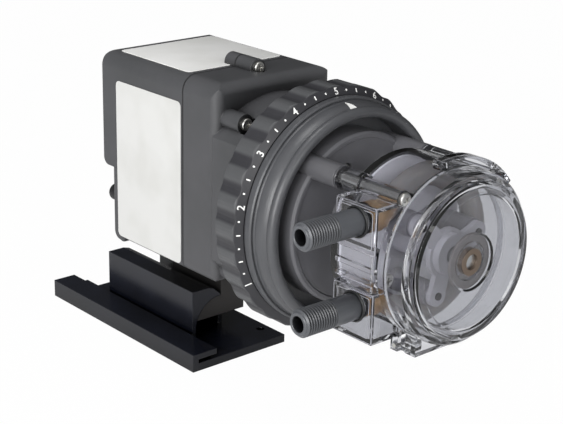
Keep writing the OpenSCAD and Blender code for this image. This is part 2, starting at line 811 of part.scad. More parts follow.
// Disc with three posts and the shaft's tower, which carries the pump head
module head_bracket() {
    color("#3f4043") axial() difference() {
        union() {
            rotate_extrude($fn = 120) polygon([
                [drive_bush_r, recess_d], [disc_r, recess_d], [disc_r, disc_d - 1.2], [disc_r - 1.2, disc_d],
                [disc_r - 3, disc_d], [disc_r - 3.6, disc_d - 0.8], [tower_r + 3, disc_d - 0.8],
                [tower_r, disc_d + 2], [tower_r - 1.5, tower_end], [drive_bush_r, tower_end]
            ]);
            for (a = head_angles) rotate(a) translate([head_post_pcd_r, 0, 0]) {
                rod(head_post_r, recess_d, head_post_d - 1);
                rod(head_post_r - 0.8, head_post_d - 2, head_post_d);
            }
        }
        rod(drive_bush_r, recess_d - 1, tower_end + 1);
        // pockets behind the disc, between ribs
        for (a = head_angles) rotate(a) difference() {
            rotate([0, 0, 12]) rotate_extrude(angle = 96) translate([tower_r + 1, recess_d - 1])
                square([disc_r - tower_r - 10, disc_d - recess_d - 4]);
            rotate(60) translate([disc_screw_pcd_r, 0, 0]) rod(7, recess_d - 2, disc_d);
        }
        for (a = head_angles) rotate(a) {
            translate([head_post_pcd_r, 0, 0]) rod(screw_r, head_post_d - 12, head_post_d + 1);
            rotate(60) translate([disc_screw_pcd_r, 0, 0]) {
                rod(screw_r + run_gap, recess_d - 1, disc_d + 1);
                rod(3.8, disc_d - 4, disc_d + 1);
            }
        }
    }
}

tower_end = head_back;

module shaft_bearing() {
    color("#a97b3f") axial() pipe(drive_bush_r, drive_r + run_gap, tower_end - shaft_bearing_l, tower_end);
}

module bracket_screws() {
    color("#b9b9b6") axial() for (a = head_angles) rotate(a + 60) translate([disc_screw_pcd_r, 0, 0])
        screw(recess_d - 3, disc_d - 1.8);
}

// Clear housing round the rollers: back, track wall, port boxes, screw lugs and collar
module tube_housing() {
    color("#c9cfd4", 0.35) axial() difference() {
        union() {
            difference() {
                union() {
                    rod(head_r, head_back, head_front);
                    port_blocks();
                    for (a = head_angles) rotate(a) lug();
                    collar();
                    latch_ears();
                }
                rod(head_r - head_wall, head_back + head_wall, head_front + 1);
                port_pockets();
            }
        }
        rod(drive_bush_r + 3, head_back - 1, head_back + head_wall + 1);
        for (a = head_angles) rotate(a) translate([head_post_pcd_r, 0, 0]) {
            rod(screw_r + run_gap, head_post_d - 1, head_front + 1);
            rod(lug_r + 0.3, lug_front, collar_front + 1);
        }
        for (y = [port_y, -port_y]) translate([-port_x - 1, y, tube_d]) rotate([0, 90, 0])
            cylinder(r = barrel_r + run_gap, h = port_wall + 2);
        translate([0, latch_y, latch_d]) rotate([0, 90, 0])
            translate([0, 0, latch_x0 - 2.9]) cylinder(r = latch_pin_r, h = latch_l + 5.8);
        translate([plate_screw[0], plate_screw[1], 0]) rod(screw_r, port_front - port_wall - 1, port_front + 1);
    }
}

lug_r = 4.2;
lug_block_l = 16;
lug_front = head_front - 3;
collar_r = 50.5;
collar_front = head_front + 4;
upper_y0 = port_y + port_over - upper_port_h;
lower_y0 = -port_y + port_over - lower_port_h;
port_spans = [[upper_y0, upper_port_h], [lower_y0, lower_port_h]];
plate_screw = [-35.6, -6.2];

// Solid blocks of the two port boxes, and the plate and bars that join them
module port_blocks() {
    for (b = port_spans) translate([-port_x, b[0], port_rear]) cube([port_x - 20, b[1], port_deep]);
    translate([-port_x, lower_y0, port_front - port_wall])
        cube([port_x - 20, port_y + port_over - lower_y0, port_wall]);
    for (y = [-9.4, -2.6]) translate([-port_x + 0.6, y, port_rear]) cube([3, 2.6, port_deep - 1]);
    // bosses on the plate
    for (p = [[-33.1, 17.4], [-29.7, -33.3]]) translate([p[0], p[1], port_front - 1]) difference() {
        cylinder(r = 2.6, h = 3);
        translate([0, 0, 1.6]) cylinder(r = 1.3, h = 3);
    }
}

// Hollows of the port boxes, open to the roller chamber
module port_pockets()
    for (b = port_spans) translate([-port_x + port_wall, b[0] + port_wall, port_rear + port_wall])
        cube([port_x - port_wall - 18, b[1] - 2 * port_wall, port_deep - 2 * port_wall]);

// Lug that carries one of the long screws
module lug() {
    translate([head_post_pcd_r, 0, 0]) {
        rod(lug_r, head_post_d, lug_front);
        rod(lug_r + 1.8, head_post_d, head_post_d + lug_block_l);
    }
}

// Collar round the upper right of the cover's rim
module collar()
    rotate(38) rotate_extrude(angle = 62, $fn = 120) polygon([
        [head_r - 1, head_front - 6], [collar_r - 2, head_front - 6], [collar_r, head_front - 4],
        [collar_r, collar_front], [head_r + 0.6, collar_front], [head_r + 0.6, head_front - 1],
        [head_r - 1, head_front - 1]
    ]);

module head_screws() {
    color("#c4c4c0") axial() {
        for (a = head_angles) rotate(a) translate([head_post_pcd_r, 0, 0])
            screw(head_post_d - 10, lug_front + 2.2);
        translate([plate_screw[0], plate_screw[1], 0]) screw(port_front - port_wall + 0.2, port_front + 2.2);
    }
}

// Length of a fitting behind the port box's outer face
fitting_in = 4.6;

// Grey threaded fitting: bore, thread, barrel and the flange that holds it in its box
module fitting(y) {
    tip_r = thread_r - 0.7;
    crests = floor(thread_l / thread_pitch);
    translate([-fitting_tip_x, y, tube_d]) rotate([0, 90, 0]) difference() {
        union() {
            cylinder(r = tip_r, h = thread_l);
            // thread drawn as closed ridges
            for (i = [0 : crests - 1]) translate([0, 0, 0.8 + i * thread_pitch]) rotate_extrude($fn = 64)
                polygon([
                    [tip_r - 0.5, 0], [tip_r, 0.1], [thread_r, thread_pitch * 0.35],
                    [thread_r, thread_pitch * 0.45], [tip_r, thread_pitch * 0.8], [tip_r - 0.5, thread_pitch * 0.8]
                ]);
            translate([0, 0, thread_l - eps]) cylinder(r = barrel_r, h = fitting_tip_x - port_x - thread_l + fitting_in);
            translate([0, 0, fitting_tip_x - port_x + port_wall + seat_gap]) cylinder(r = barrel_r + 0.2, h = 1.8);
        }
        translate([0, 0, -1]) cylinder(r = fitting_bore_r, h = fitting_tip_x);
    }
}

module upper_fitting() {
    color("#6f7276") axial() fitting(port_y);
}

module lower_fitting() {
    color("#6f7276") axial() fitting(-port_y);
}

fitting_end_x = -port_x + fitting_in;

// Rings that clamp the pump tube against its fittings
module tube_clamps() {
    color("#d3cbb8") axial() for (y = [port_y, -port_y])
        translate([fitting_end_x + 0.6, y, tube_d]) rotate([0, 90, 0]) difference() {
            cylinder(r = tube_r + 0.8, h = 6);
            translate([0, 0, -1]) cylinder(r = tube_r + run_gap, h = 8);
        }
}

// Angle of the bend between a port and the track, and where the straight end meets it
bend = acos((port_y + bend_r) / (track_r + bend_r));
bend_x = -(track_r + bend_r) * sin(bend);

// Part of a hollow ring of tube round the local Z axis
module tube_arc(r, a0, sweep)
    rotate(a0) rotate_extrude(angle = sweep, $fn = 120) translate([r, 0]) difference() {
        circle(r = tube_r, $fn = 48);
        circle(r = tube_r - tube_wall, $fn = 48);
    }

// Pump tube: from the upper port round the track to the lower port
module pump_tube() {
    color("#c08a4e") axial() translate([0, 0, tube_d]) {
        tube_arc(track_r, -90 - bend, 180 + 2 * bend);
        // the bends and the ends meet the track's arc with a hair between them
        translate([bend_x, port_y + bend_r, 0]) tube_arc(bend_r, 270, bend - 0.1);
        translate([bend_x, -port_y - bend_r, 0]) tube_arc(bend_r, 90.1 - bend, bend - 0.1);
        for (y = [port_y, -port_y]) translate([fitting_end_x + 0.1, y, 0]) rotate([0, 90, 0]) difference() {
            cylinder(r = tube_r, h = bend_x - fitting_end_x - 0.12, $fn = 48);
            translate([0, 0, -1]) cylinder(r = tube_r - tube_wall, h = 60, $fn = 48);
        }
    }
}

// Two arm plates and a hub that hold the rollers
module roller_carrier() {
    color("#d9d9d6") axial() difference() {
        union() {
            for (d = [carrier_back, carrier_front]) translate([0, 0, d]) linear_extrude(carrier_t) {
                circle(r = 13);
                for (i = [0 : 2]) rotate(roller_angle + 120 * i) {
                    translate([roller_pcd_r, 0]) circle(r = arm_r);
                    translate([2, 0.5 - arm_r]) square([roller_pcd_r - 2, 2 * arm_r - 1]);
                }
            }
            rod(8, carrier_back + carrier_t - eps, carrier_front + eps);
            rod(11, carrier_front + carrier_t - eps, carrier_front + carrier_t + 4);
        }
        rod(drive_r, carrier_back - 1, carrier_front + carrier_t + 5);
        for (i = [0 : 2]) rotate(roller_angle + 120 * i) translate([roller_pcd_r, 0, 0])
            rod(axle_r, carrier_back - 1, carrier_front + carrier_t + 1);
    }
}

module roller_axles() {
    color("#bfc2c5") axial() for (i = [0 : 2]) rotate(roller_angle + 120 * i)
        translate([roller_pcd_r, 0, 0]) rod(axle_r, carrier_back, carrier_front + carrier_t + 0.8);
}

// One roller at its place on the carrier
module roller(i) {
    color("#e9e8e4") axial() rotate(roller_angle + 120 * i) translate([roller_pcd_r, 0, 0])
        difference() {
            union() {
                rod(roller_r, roller_back + 1, roller_front - 1);
                rod(roller_r - 1, roller_back, roller_front);
            }
            rod(axle_r + run_gap, roller_back - 1, roller_front + 1);
        }
}

module roller_1() roller(0);
module roller_2() roller(1);
module roller_3() roller(2);

// Clear cover with its rim, raised drum, sunk face and bearing seat
module head_cover() {
    rim_back = head_front + seat_gap;
    in_r = head_r - head_wall;
    color("#d5dade", 0.35) axial() rotate_extrude($fn = 120) polygon([
        [in_r - 0.4, rim_back - 2], [in_r - 0.4, rim_back], [cover_r, rim_back],
        [cover_r, rim_front - 1.2], [cover_r - 1.2, rim_front], [drum_r + 0.6, rim_front],
        [drum_r, rim_front + 0.6], [drum_r, cover_front - 1.4], [drum_r - 1.4, cover_front],
        [face_r + 1, cover_front], [face_r, cover_front - 1], [hub_face_r + 1, cover_front - 1],
        [hub_face_r, cover_front - 2], [bush_r, cover_front - 2], [bush_r, cover_front - cover_wall - 5],
        [bush_r + 3, cover_front - cover_wall - 5], [bush_r + 3, cover_front - cover_wall - 1],
        [drum_r - cover_wall, cover_front - cover_wall - 1], [drum_r - cover_wall, rim_back - 2]
    ]);
}

hub_face_r = 14;

module cover_bearing() {
    color("#a97b3f") axial()
        pipe(bush_r, stub_r + run_gap, cover_front - cover_wall - 5, cover_front - 1.6);
}

latch_x0 = -28.6;
latch_l = 8;
latch_y = 1.6 - cover_r;
latch_d = head_front - 3.5;
latch_barrel_r = 2.4;

// Ears under the tube housing that hold the bottom latch's pin
module latch_ears()
    for (x = [latch_x0 - 2.8, latch_x0 + latch_l + 0.3])
        translate([x, latch_y - latch_barrel_r, latch_d - latch_barrel_r])
            cube([2.5, 14, 2 * latch_barrel_r]);

// Clear latch that swings up beside the cover's rim
module bottom_latch() {
    plate_back = head_front + 1.4;
    color("#d5dade", 0.35) axial() difference() {
        union() {
            translate([latch_x0, latch_y, latch_d]) rotate([0, 90, 0])
                cylinder(r = latch_barrel_r, h = latch_l, $fn = 48);
            translate([latch_x0, latch_y - latch_barrel_r, latch_d]) cube([latch_l, latch_barrel_r, 6]);
            translate([latch_x0, -cover_r - 1.4, plate_back]) cube([24, 13, 7]);
        }
        rod(cover_r + 0.5, head_front, rim_front + 1);
        translate([latch_x0 - 1, latch_y, latch_d]) rotate([0, 90, 0])
            cylinder(r = latch_pin_r + run_gap, h = latch_l + 2, $fn = 48);
    }
}

module latch_pin() {
    color("#bfc2c5") axial() translate([latch_x0 - 2.8, latch_y, latch_d]) rotate([0, 90, 0])
        cylinder(r = latch_pin_r, h = latch_l + 5.6);
}

mounting_bracket();
slide_foot();
rear_cover();
front_cover();
cord_gland();
housing_screws();
stator_core();
field_coil();
motor_brackets();
motor_bearings();
rotor_core();
motor_shaft();
gear_plate();
first_gear();
second_gear();
output_gear();
drive_shaft();
neck_bearing();
index_plate();
dial_ring();
bezel();
head_bracket();
shaft_bearing();
bracket_screws();
tube_housing();
head_screws();
upper_fitting();
lower_fitting();
tube_clamps();
pump_tube();
roller_carrier();
roller_axles();
roller_1();
roller_2();
roller_3();
head_cover();
cover_bearing();
bottom_latch();
latch_pin();
stop_pin();
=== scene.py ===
"""Looks of a peristaltic metering pump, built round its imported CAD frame.

Every length is in metres in the row frame: +Z up, the pump head looks along -Y and +X is to the
right seen from the head. Pieces on the pump axis are worked out in stations, distances ahead of
the plane y = 0, and angles counter-clockwise from +X as seen from the head.
"""

import logging
import math
from dataclasses import dataclass
from enum import Enum
from typing import Any, Callable, Sequence

import bmesh
import bpy
import numpy as np
from mathutils import Matrix, Vector


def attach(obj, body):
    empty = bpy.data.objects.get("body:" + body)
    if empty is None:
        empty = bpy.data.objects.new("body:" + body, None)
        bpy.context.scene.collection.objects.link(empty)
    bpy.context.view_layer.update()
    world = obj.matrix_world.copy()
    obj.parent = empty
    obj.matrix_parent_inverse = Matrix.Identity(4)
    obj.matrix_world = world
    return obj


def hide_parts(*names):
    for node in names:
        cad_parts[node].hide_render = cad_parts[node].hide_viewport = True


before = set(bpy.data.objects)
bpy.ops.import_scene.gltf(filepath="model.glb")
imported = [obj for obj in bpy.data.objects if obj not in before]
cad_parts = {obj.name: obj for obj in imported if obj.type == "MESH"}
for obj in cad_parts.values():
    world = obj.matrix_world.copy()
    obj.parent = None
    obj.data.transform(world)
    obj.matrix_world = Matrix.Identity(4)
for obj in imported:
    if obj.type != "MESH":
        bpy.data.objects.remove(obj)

LOG = logging.getLogger("pump")
MM = 0.001
AXIS_Z = 116.0
# noise cells to the metre: broad marks every 36 mm, flow waves every 17 mm, clouds in rubber every
# 11 mm, a film's peel every 2 mm and its patches every 25 mm
MARKS, WAVES, CLOUDS, PEEL, PATCHES = 28.0, 60.0, 90.0, 500.0, 40.0

Tree = bpy.types.NodeTree
Socket = bpy.types.NodeSocket
Piece = bpy.types.Object
Pair = tuple[float, float]
Triple = tuple[float, float, float]
RGBA = tuple[float, float, float, float]
Placing = Callable[[np.ndarray], np.ndarray]


class Body(Enum):
    """Rigid bodies of the frame that the pieces ride on."""

    PUMP = "pump"
    DIAL = "dial"
    COVER = "cover"


def linear(hex_colour: str) -> RGBA:
    """Turn an sRGB hex colour into linear RGBA.

    Args:
        hex_colour: six hex digits after a hash.

    Returns:
        Linear red, green, blue and an alpha of 1.
    """
    parts = [int(hex_colour[i : i + 2], 16) / 255 for i in (1, 3, 5)]
    lin = [p / 12.92 if p <= 0.04045 else ((p + 0.055) / 1.055) ** 2.4 for p in parts]
    return lin[0], lin[1], lin[2], 1.0


def add(tree: Tree, kind: str, inputs: dict[Any, Any] | None = None, **settings: Any) -> bpy.types.Node:
    """Add one shader node.

    Args:
        tree: node tree that the node joins.
        kind: Blender's node type.
        inputs: socket name or index to a value or to another node's output socket.
        settings: properties of the node itself.

    Returns:
        The node.
    """
    made = tree.nodes.new(kind)
    for name, value in settings.items():
        setattr(made, name, value)
    for name, value in (inputs or {}).items():
        if isinstance(value, Socket):
            tree.links.new(value, made.inputs[name])
        else:
            made.inputs[name].default_value = value
    return made


def ramp(tree: Tree, source: Socket, stops: Sequence[tuple[float, tuple]]) -> Socket:
    """Colour ramp between stops.

    Args:
        tree: node tree that the ramp joins.
        source: socket with the factor.
        stops: position and linear colour of each stop, two or more.

    Returns:
        The ramp's colour socket.
    """
    made = add(tree, "ShaderNodeValToRGB", {"Fac": source})
    elements = made.color_ramp.elements
    while len(elements) < len(stops):
        elements.new(0.5)
    for element, (position, colour) in zip(elements, stops):
        element.position = position
        element.color = colour
    return made.outputs["Color"]


def mixed(tree: Tree, share: Any, first: Any, second: Any, blend: str = "MIX") -> Socket:
    """Mix two colours.

    Args:
        tree: node tree that the mix joins.
        share: how much of the second colour, a number or a socket.
        first: the first colour, or its socket.
        second: the second colour, or its socket.
        blend: Blender's blend type.

    Returns:
        The mixed colour's socket.
    """
    made = add(tree, "ShaderNodeMix", {0: share, 6: first, 7: second}, data_type="RGBA", blend_type=blend)
    return made.outputs[2]


def noise(tree: Tree, where: Socket, scale: float, detail: float, **more: float) -> Socket:
    """Return a noise of so many cells to the metre."""
    inputs = {"Vector": where, "Scale": scale, "Detail": detail, **more}
    return add(tree, "ShaderNodeTexNoise", inputs).outputs["Fac"]


def calc(tree: Tree, operation: str, *values: Any) -> Socket:
    """Return the result of one operation on numbers or sockets."""
    return add(tree, "ShaderNodeMath", dict(enumerate(values)), operation=operation).outputs["Value"]


def ranged(tree: Tree, value: Socket, given: Pair, to: Pair = (0.0, 1.0)) -> Socket:
    """Return a value moved from one range to another, held at its ends."""
    span = dict(zip(("From Min", "From Max", "To Min", "To Max"), (*given, *to)))
    return add(tree, "ShaderNodeMapRange", {"Value": value, **span}).outputs["Result"]


def principled(tree: Tree, inputs: dict[str, Any]) -> Socket:
    """Return the shader's socket of a principled shader with these inputs."""
    return add(tree, "ShaderNodeBsdfPrincipled", inputs).outputs["BSDF"]


def bumped(tree: Tree, height: Socket, depth_mm: float, strength: float, edge_mm: float = 0.0) -> Socket:
    """Bump a surface, over softened edges where it has them.

    Args:
        tree: node tree of the material.
        height: socket of the height, from 0 to 1.
        depth_mm: depth of the bump, in millimetres.
        strength: share of the bump that shows.
        edge_mm: radius of the softened edges, in millimetres, or 0 for none.

    Returns:
        The normal's socket.
    """
    inputs: dict[Any, Any] = {"Height": height, "Distance": depth_mm * MM, "Strength": strength}
    if edge_mm:
        edge = add(tree, "ShaderNodeBevel", {"Radius": edge_mm * MM}, samples=4)
        inputs["Normal"] = edge.outputs["Normal"]
    return add(tree, "ShaderNodeBump", inputs).outputs["Normal"]


@dataclass(frozen=True)
class Finish:
    """What every finish has: a name, and a way to make its material once."""

    name: str

    def material(self) -> bpy.types.Material:
        """Make the finish's material the first time it is asked for.

        Returns:
            The material.
        """
        found = bpy.data.materials.get(self.name)
        if found is not None:
            return found
        made = bpy.data.materials.new(self.name)
        made.use_nodes = True
        tree = made.node_tree
        tree.nodes.clear()
        out = tree.nodes.new("ShaderNodeOutputMaterial")
        tree.links.new(self.surface(tree), out.inputs["Surface"])
        return made

    def surface(self, tree: Tree) -> Socket:
        """Build the shader and return its socket."""
        raise NotImplementedError


def object_coordinates(tree: Tree) -> Socket:
    """Return the object coordinates' socket."""
    return add(tree, "ShaderNodeTexCoord").outputs["Object"]


@dataclass(frozen=True)
class MouldedPlastic(Finish):
    """Injection-moulded plastic: a fine spark-eroded texture, soft edges, faint broad marks and painted shade in
    its cavities.
    """

    colour: str
    shade: str
    roughness: float
    grain_mm: float
    grain_depth: float
    edge_mm: float

    def surface(self, tree: Tree) -> Socket:
        """Fine noise for the mould's texture, broad noise for its marks, softened edges and painted cavity shade.

        Args:
            tree: node tree of the material.

        Returns:
            The shader's socket.
        """
        where = object_coordinates(tree)
        # one noise cell for each grain of the mould's eroded texture
        grain = noise(tree, where, 1000 / self.grain_mm, 2.0)
        marks = noise(tree, where, MARKS, 4.0, Roughness=0.6)
        colour = ramp(tree, marks, [(0.35, linear(self.shade)), (0.68, linear(self.colour))])
        rough = ranged(tree, marks, (0.0, 1.0), (self.roughness - 0.06, self.roughness + 0.07))
        normal = bumped(tree, grain, self.grain_depth, 0.6, self.edge_mm)
        colour = self.tone(tree, colour)
        return principled(tree, {"Base Color": colour, "Roughness": rough, "IOR": 1.53, "Normal": normal})

    def tone(self, tree: Tree, colour: Socket) -> Socket:
        """Paint shade into the plastic's cavities, darker the less open each point is.

        Args:
            tree: node tree of the material.
            colour: the plain colour's socket.

        Returns:
            The toned colour's socket.
        """
        # painted shade: ambient occlusion darkens the base colour where the point is closed in
        open_share = add(tree, "ShaderNodeAmbientOcclusion", {"Distance": 0.045}, samples=6)
        dim = ramp(tree, open_share.outputs["AO"], [(0.3, linear("#2C2C30")), (0.85, linear("#FFFFFF"))])
        return mixed(tree, 1.0, colour, dim, "MULTIPLY")


@dataclass(frozen=True)
class InnerPlastic(MouldedPlastic):
    """Moulded plastic behind clear walls, which the painted cavity shade would take for solid ones."""

    def tone(self, tree: Tree, colour: Socket) -> Socket:
        """Leave the colour as it is, with no painted shade."""
        return colour


@dataclass(frozen=True)
class SeamedPlastic(MouldedPlastic):
    """Moulded plastic in two halves, with a thin dark line where they meet."""

    seam_mm: float
    line_mm: float

    def tone(self, tree: Tree, colour: Socket) -> Socket:
        """Draw the seam's shadow line across the axis and keep the painted cavity shade.

        Args:
            tree: node tree of the material.
            colour: the plain colour's socket.

        Returns:
            The toned colour's socket.
        """
        base = super().tone(tree, colour)
        place = add(tree, "ShaderNodeSeparateXYZ", {0: object_coordinates(tree)})
        off = calc(tree, "ABSOLUTE", calc(tree, "ADD", place.outputs["Y"], self.seam_mm * MM))
        line = calc(tree, "LESS_THAN", off, self.line_mm / 2 * MM)
        return mixed(tree, line, base, linear("#0C0C0E"))


@dataclass(frozen=True)
class GripPlastic(MouldedPlastic):
    """Moulded plastic whose grip, outside a radius, is painted paler as the light falling on it."""

    worn: str
    grip_mm: float

    def tone(self, tree: Tree, colour: Socket) -> Socket:
        """Paint light on the plastic outside the grip's radius about the pump axis, keeping the painted cavity
        shade inside it.

        Args:
            tree: node tree of the material.
            colour: the plain colour's socket.

        Returns:
            The toned colour's socket.
        """
        base = super().tone(tree, colour)
        flat = object_coordinates(tree)
        for operation, by in (("ADD", (0.0, 0.0, -AXIS_Z * MM)), ("MULTIPLY", (1.0, 0.0, 1.0))):
            flat = add(tree, "ShaderNodeVectorMath", {0: flat, 1: by}, operation=operation).outputs["Vector"]
        reach = add(tree, "ShaderNodeVectorMath", {0: flat}, operation="LENGTH")
        # painted light: outside the grip's radius the colour goes over to the paler grip colour
        edge = ((self.grip_mm - 0.2) * MM, (self.grip_mm + 0.3) * MM)
        return mixed(tree, ranged(tree, reach.outputs["Value"], edge), base, linear(self.worn))


@dataclass(frozen=True)
class FacedPlastic(InnerPlastic):
    """Moulded plastic that is paler ahead of a station, to the photograph's tone."""

    face: str
    face_mm: float

    def tone(self, tree: Tree, colour: Socket) -> Socket:
        """Use the paler colour ahead of the face's station.

        Args:
            tree: node tree of the material.
            colour: the plain colour's socket.

        Returns:
            The toned colour's socket.
        """
        place = add(tree, "ShaderNodeSeparateXYZ", {0: object_coordinates(tree)})
        ahead = calc(tree, "LESS_THAN", place.outputs["Y"], -self.face_mm * MM)
        return mixed(tree, ahead, colour, linear(self.face))


@dataclass(frozen=True)
class ClearPlastic(Finish):
    """Clear moulded polycarbonate: glossy, faintly smoky, with soft edges that catch the light."""

    tint: str
    shadow: str
    roughness: float

    def surface(self, tree: Tree) -> Socket:
        """Refracting shader with slight flow waviness; light passes it as through thin plastic.

        Args:
            tree: node tree of the material.

        Returns:
            The shader's socket.
        """
        waves = noise(tree, object_coordinates(tree), WAVES, 1.0)
        clear = principled(
            tree,
            {
                "Base Color": linear(self.tint),
                "Roughness": self.roughness,
                "IOR": 1.49,
                "Transmission Weight": 1.0,
                "Normal": bumped(tree, waves, 0.12, 0.5, 0.3),
            },
        )
        thin = add(tree, "ShaderNodeBsdfTransparent", {"Color": linear(self.shadow)})
        path = add(tree, "ShaderNodeLightPath")
        both = {0: path.outputs["Is Shadow Ray"], 1: clear, 2: thin.outputs["BSDF"]}
        return add(tree, "ShaderNodeMixShader", both).outputs["Shader"]


@dataclass(frozen=True)
class TurnedMetal(Finish):
    """Machined or plated metal: fine tool marks round the axis and soft edges."""

    colour: str
    roughness: float
    mark_mm: float

    def surface(self, tree: Tree) -> Socket:
        """Metallic shader with fine marks in roughness and bump.

        Args:
            tree: node tree of the material.

        Returns:
            The shader's socket.
        """
        marks = noise(tree, object_coordinates(tree), 1000 / self.mark_mm, 3.0)
        rough = ranged(tree, marks, (0.0, 1.0), (self.roughness - 0.08, self.roughness + 0.12))
        normal = bumped(tree, marks, 0.02, 0.3, 0.15)
        colour = linear(self.colour)
        return principled(tree, {"Base Color": colour, "Metallic": 1.0, "Roughness": rough, "Normal": normal})


@dataclass(frozen=True)
class SoftRubber(Finish):
    """Extruded thermoplastic rubber: warm, slightly translucent and faintly mottled."""

    colour: str
    deep: str
    smoke: str
    fresh_x_mm: float

    def surface(self, tree: Tree) -> Socket:
        """Soft sheen over a mottled tan body, with painted shade in grey along the track.

        Args:
            tree: node tree of the material.

        Returns:
            The shader's socket.
        """
        where = object_coordinates(tree)
        cloud = noise(tree, where, CLOUDS, 3.0)
        colour = ramp(tree, cloud, [(0.3, linear(self.deep)), (0.7, linear(self.colour))])
        place = add(tree, "ShaderNodeSeparateXYZ", {0: where})
        # painted shade: the tube turns grey along the track, from the given x onward
        past = ranged(tree, place.outputs["X"], (self.fresh_x_mm * MM, (self.fresh_x_mm + 7.0) * MM))
        return principled(
            tree,
            {
                "Base Color": mixed(tree, past, colour, linear(self.smoke)),
                "Roughness": 0.42,
                "IOR": 1.5,
                "Subsurface Weight": 0.25,
                "Subsurface Radius": (0.004, 0.002, 0.001),
                "Normal": bumped(tree, cloud, 0.1, 0.3),
            },
        )


@dataclass(frozen=True)
class PrintedVinyl(Finish):
    """Vinyl label or printed ink: flat white with a faint orange peel."""

    colour: str
    roughness: float

    def surface(self, tree: Tree) -> Socket:
        """White film with a little unevenness.

        Args:
            tree: node tree of the material.

        Returns:
            The shader's socket.
        """
        where = object_coordinates(tree)
        base = linear(self.colour)
        dull = (base[0] * 0.93, base[1] * 0.93, base[2] * 0.92, 1.0)
        colour = ramp(tree, noise(tree, where, PATCHES, 2.0), [(0.35, dull), (0.6, base)])
        normal = bumped(tree, noise(tree, where, PEEL, 2.0), 0.02, 0.3)
        return principled(tree, {"Base Color": colour, "Roughness": self.roughness, "IOR": 1.5, "Normal": normal})


@dataclass(frozen=True)
class Ground(Finish):
    """Pale studio floor: plain white that keeps the object's shadow."""

    colour: str
    glow: float

    def surface(self, tree: Tree) -> Socket:
        """Diffuse white, lifted for what looks straight at it.

        Args:
            tree: node tree of the material.

        Returns:
            The shader's socket.
        """
        plain = add(tree, "ShaderNodeBsdfDiffuse", {"Color": linear(self.colour)})
        lit = add(tree, "ShaderNodeEmission", {"Color": linear("#FFFFFF"), "Strength": 1.0})
        path = add(tree, "ShaderNodeLightPath")
        seen = calc(tree, "MAXIMUM", path.outputs["Is Camera Ray"], path.outputs["Is Transmission Ray"])
        share = calc(tree, "MULTIPLY", seen, self.glow)
        both = {0: share, 1: plain.outputs["BSDF"], 2: lit.outputs["Emission"]}
        return add(tree, "ShaderNodeMixShader", both).outputs["Shader"]


# Moulded ABS in charcoal grey, eroded texture: the motor housing
HOUSING = SeamedPlastic("charcoal_abs", "#49494C", "#404143", 0.44, 0.5, 0.05, 0.8, 73.7, 1.1)
# The same ABS without a seam, painted darker and browner as the shade under the housing: the slide foot
FOOT = MouldedPlastic("brown_grey_abs", "#2E2B2A", "#262423", 0.5, 0.5, 0.05, 0.6)
# Moulded nylon in dark grey, smoother, its grip painted paler for the light on it: the feed dial
DIAL = GripPlastic("dark_nylon", "#2E2E32", "#28282C", 0.4, 0.4, 0.03, 0.7, "#4A4B4D", 67.3)
# Moulded ABS in dark grey, satin: the bezel and the head bracket
BEZEL = InnerPlastic("dark_grey_abs", "#4B4C4F", "#434447", 0.36, 0.4, 0.03, 0.6)
# The same ABS, paler ahead of a station as the photograph reads: the head bracket
HEAD = FacedPlastic("faced_abs", "#5E5E62", "#565659", 0.3, 0.4, 0.03, 0.6, "#9C9BA0", 193.0)
# Moulded PVC in blue-black, glossy: the mounting bracket
BRACKET = MouldedPlastic("blue_black_pvc", "#1A1D28", "#12141D", 0.22, 1.2, 0.03, 0.8)
# Moulded PVDF in mid grey: the threaded fittings
FITTING = MouldedPlastic("grey_pvdf", "#54565A", "#4C4E52", 0.34, 0.4, 0.02, 0.3)
# Moulded nylon in black: the strain relief and the port seals
BLACK = MouldedPlastic("black_nylon", "#1A1B1D", "#141517", 0.45, 0.4, 0.03, 0.5)
# Moulded acetal in mid grey: the roller carrier and the gears
ACETAL = InnerPlastic("grey_acetal", "#9D9CA1", "#929196", 0.35, 0.6, 0.01, 0.3)
# Pressed polyethylene sheet in pale grey: the wear plate behind the rollers
WEAR = InnerPlastic("grey_polyethylene", "#E4E3E8", "#D8D7DC", 0.45, 0.8, 0.02, 0.2)
# Stamped nylon sheet in brown-grey: the washer at the cover's hub
WASHER = InnerPlastic("brown_grey_nylon", "#646060", "#5C5858", 0.4, 0.6, 0.02, 0.2)
# Oxide-blacked steel: the rollers' axles
BLACKED = TurnedMetal("blacked_steel", "#2A2A2E", 0.4, 0.3)
# Turned nylon in dark grey: the rollers
ROLLER = InnerPlastic("dark_grey_nylon", "#6E6D72", "#646368", 0.38, 0.6, 0.01, 0.3)
# Clear polycarbonate, moulded and polished: the pump head
CLEAR = ClearPlastic("clear_polycarbonate", "#D2D3D7", "#F2F2F4", 0.03)
# Painted highlights along the edges of the same plastic, drawn as pale opaque bars
PAINTED_EDGE_HIGHLIGHT = InnerPlastic("painted_edge_highlight", "#B4B4BA", "#85858B", 0.2, 0.6, 0.01, 0.1)
# Zinc-plated steel screws, rolled and plated: bright with fine marks
SCREW = TurnedMetal("zinc_plated_steel", "#C9C8C4", 0.28, 0.3)
# Ground steel shafts and plates
STEEL = TurnedMetal("ground_steel", "#B4B7BA", 0.30, 0.4)
# Pressed electrical steel: dull laminations
LAMINATION = TurnedMetal("electrical_steel", "#8A8C8F", 0.5, 0.35)
# Sintered bronze bearings: warm and porous
BRONZE = TurnedMetal("sintered_bronze", "#827468", 0.5, 0.25)
# Enamelled copper winding under tape
COPPER = TurnedMetal("enamelled_copper", "#A4602A", 0.45, 0.5)
# Extruded thermoplastic rubber in tan, with painted grey shade along the track: the pump tube
TUBE = SoftRubber("tan_rubber", "#A88A64", "#76593A", "#787574", -31.0)
# White vinyl film: the two bare labels
LABEL = PrintedVinyl("white_vinyl", "#F4F4F2", 0.38)
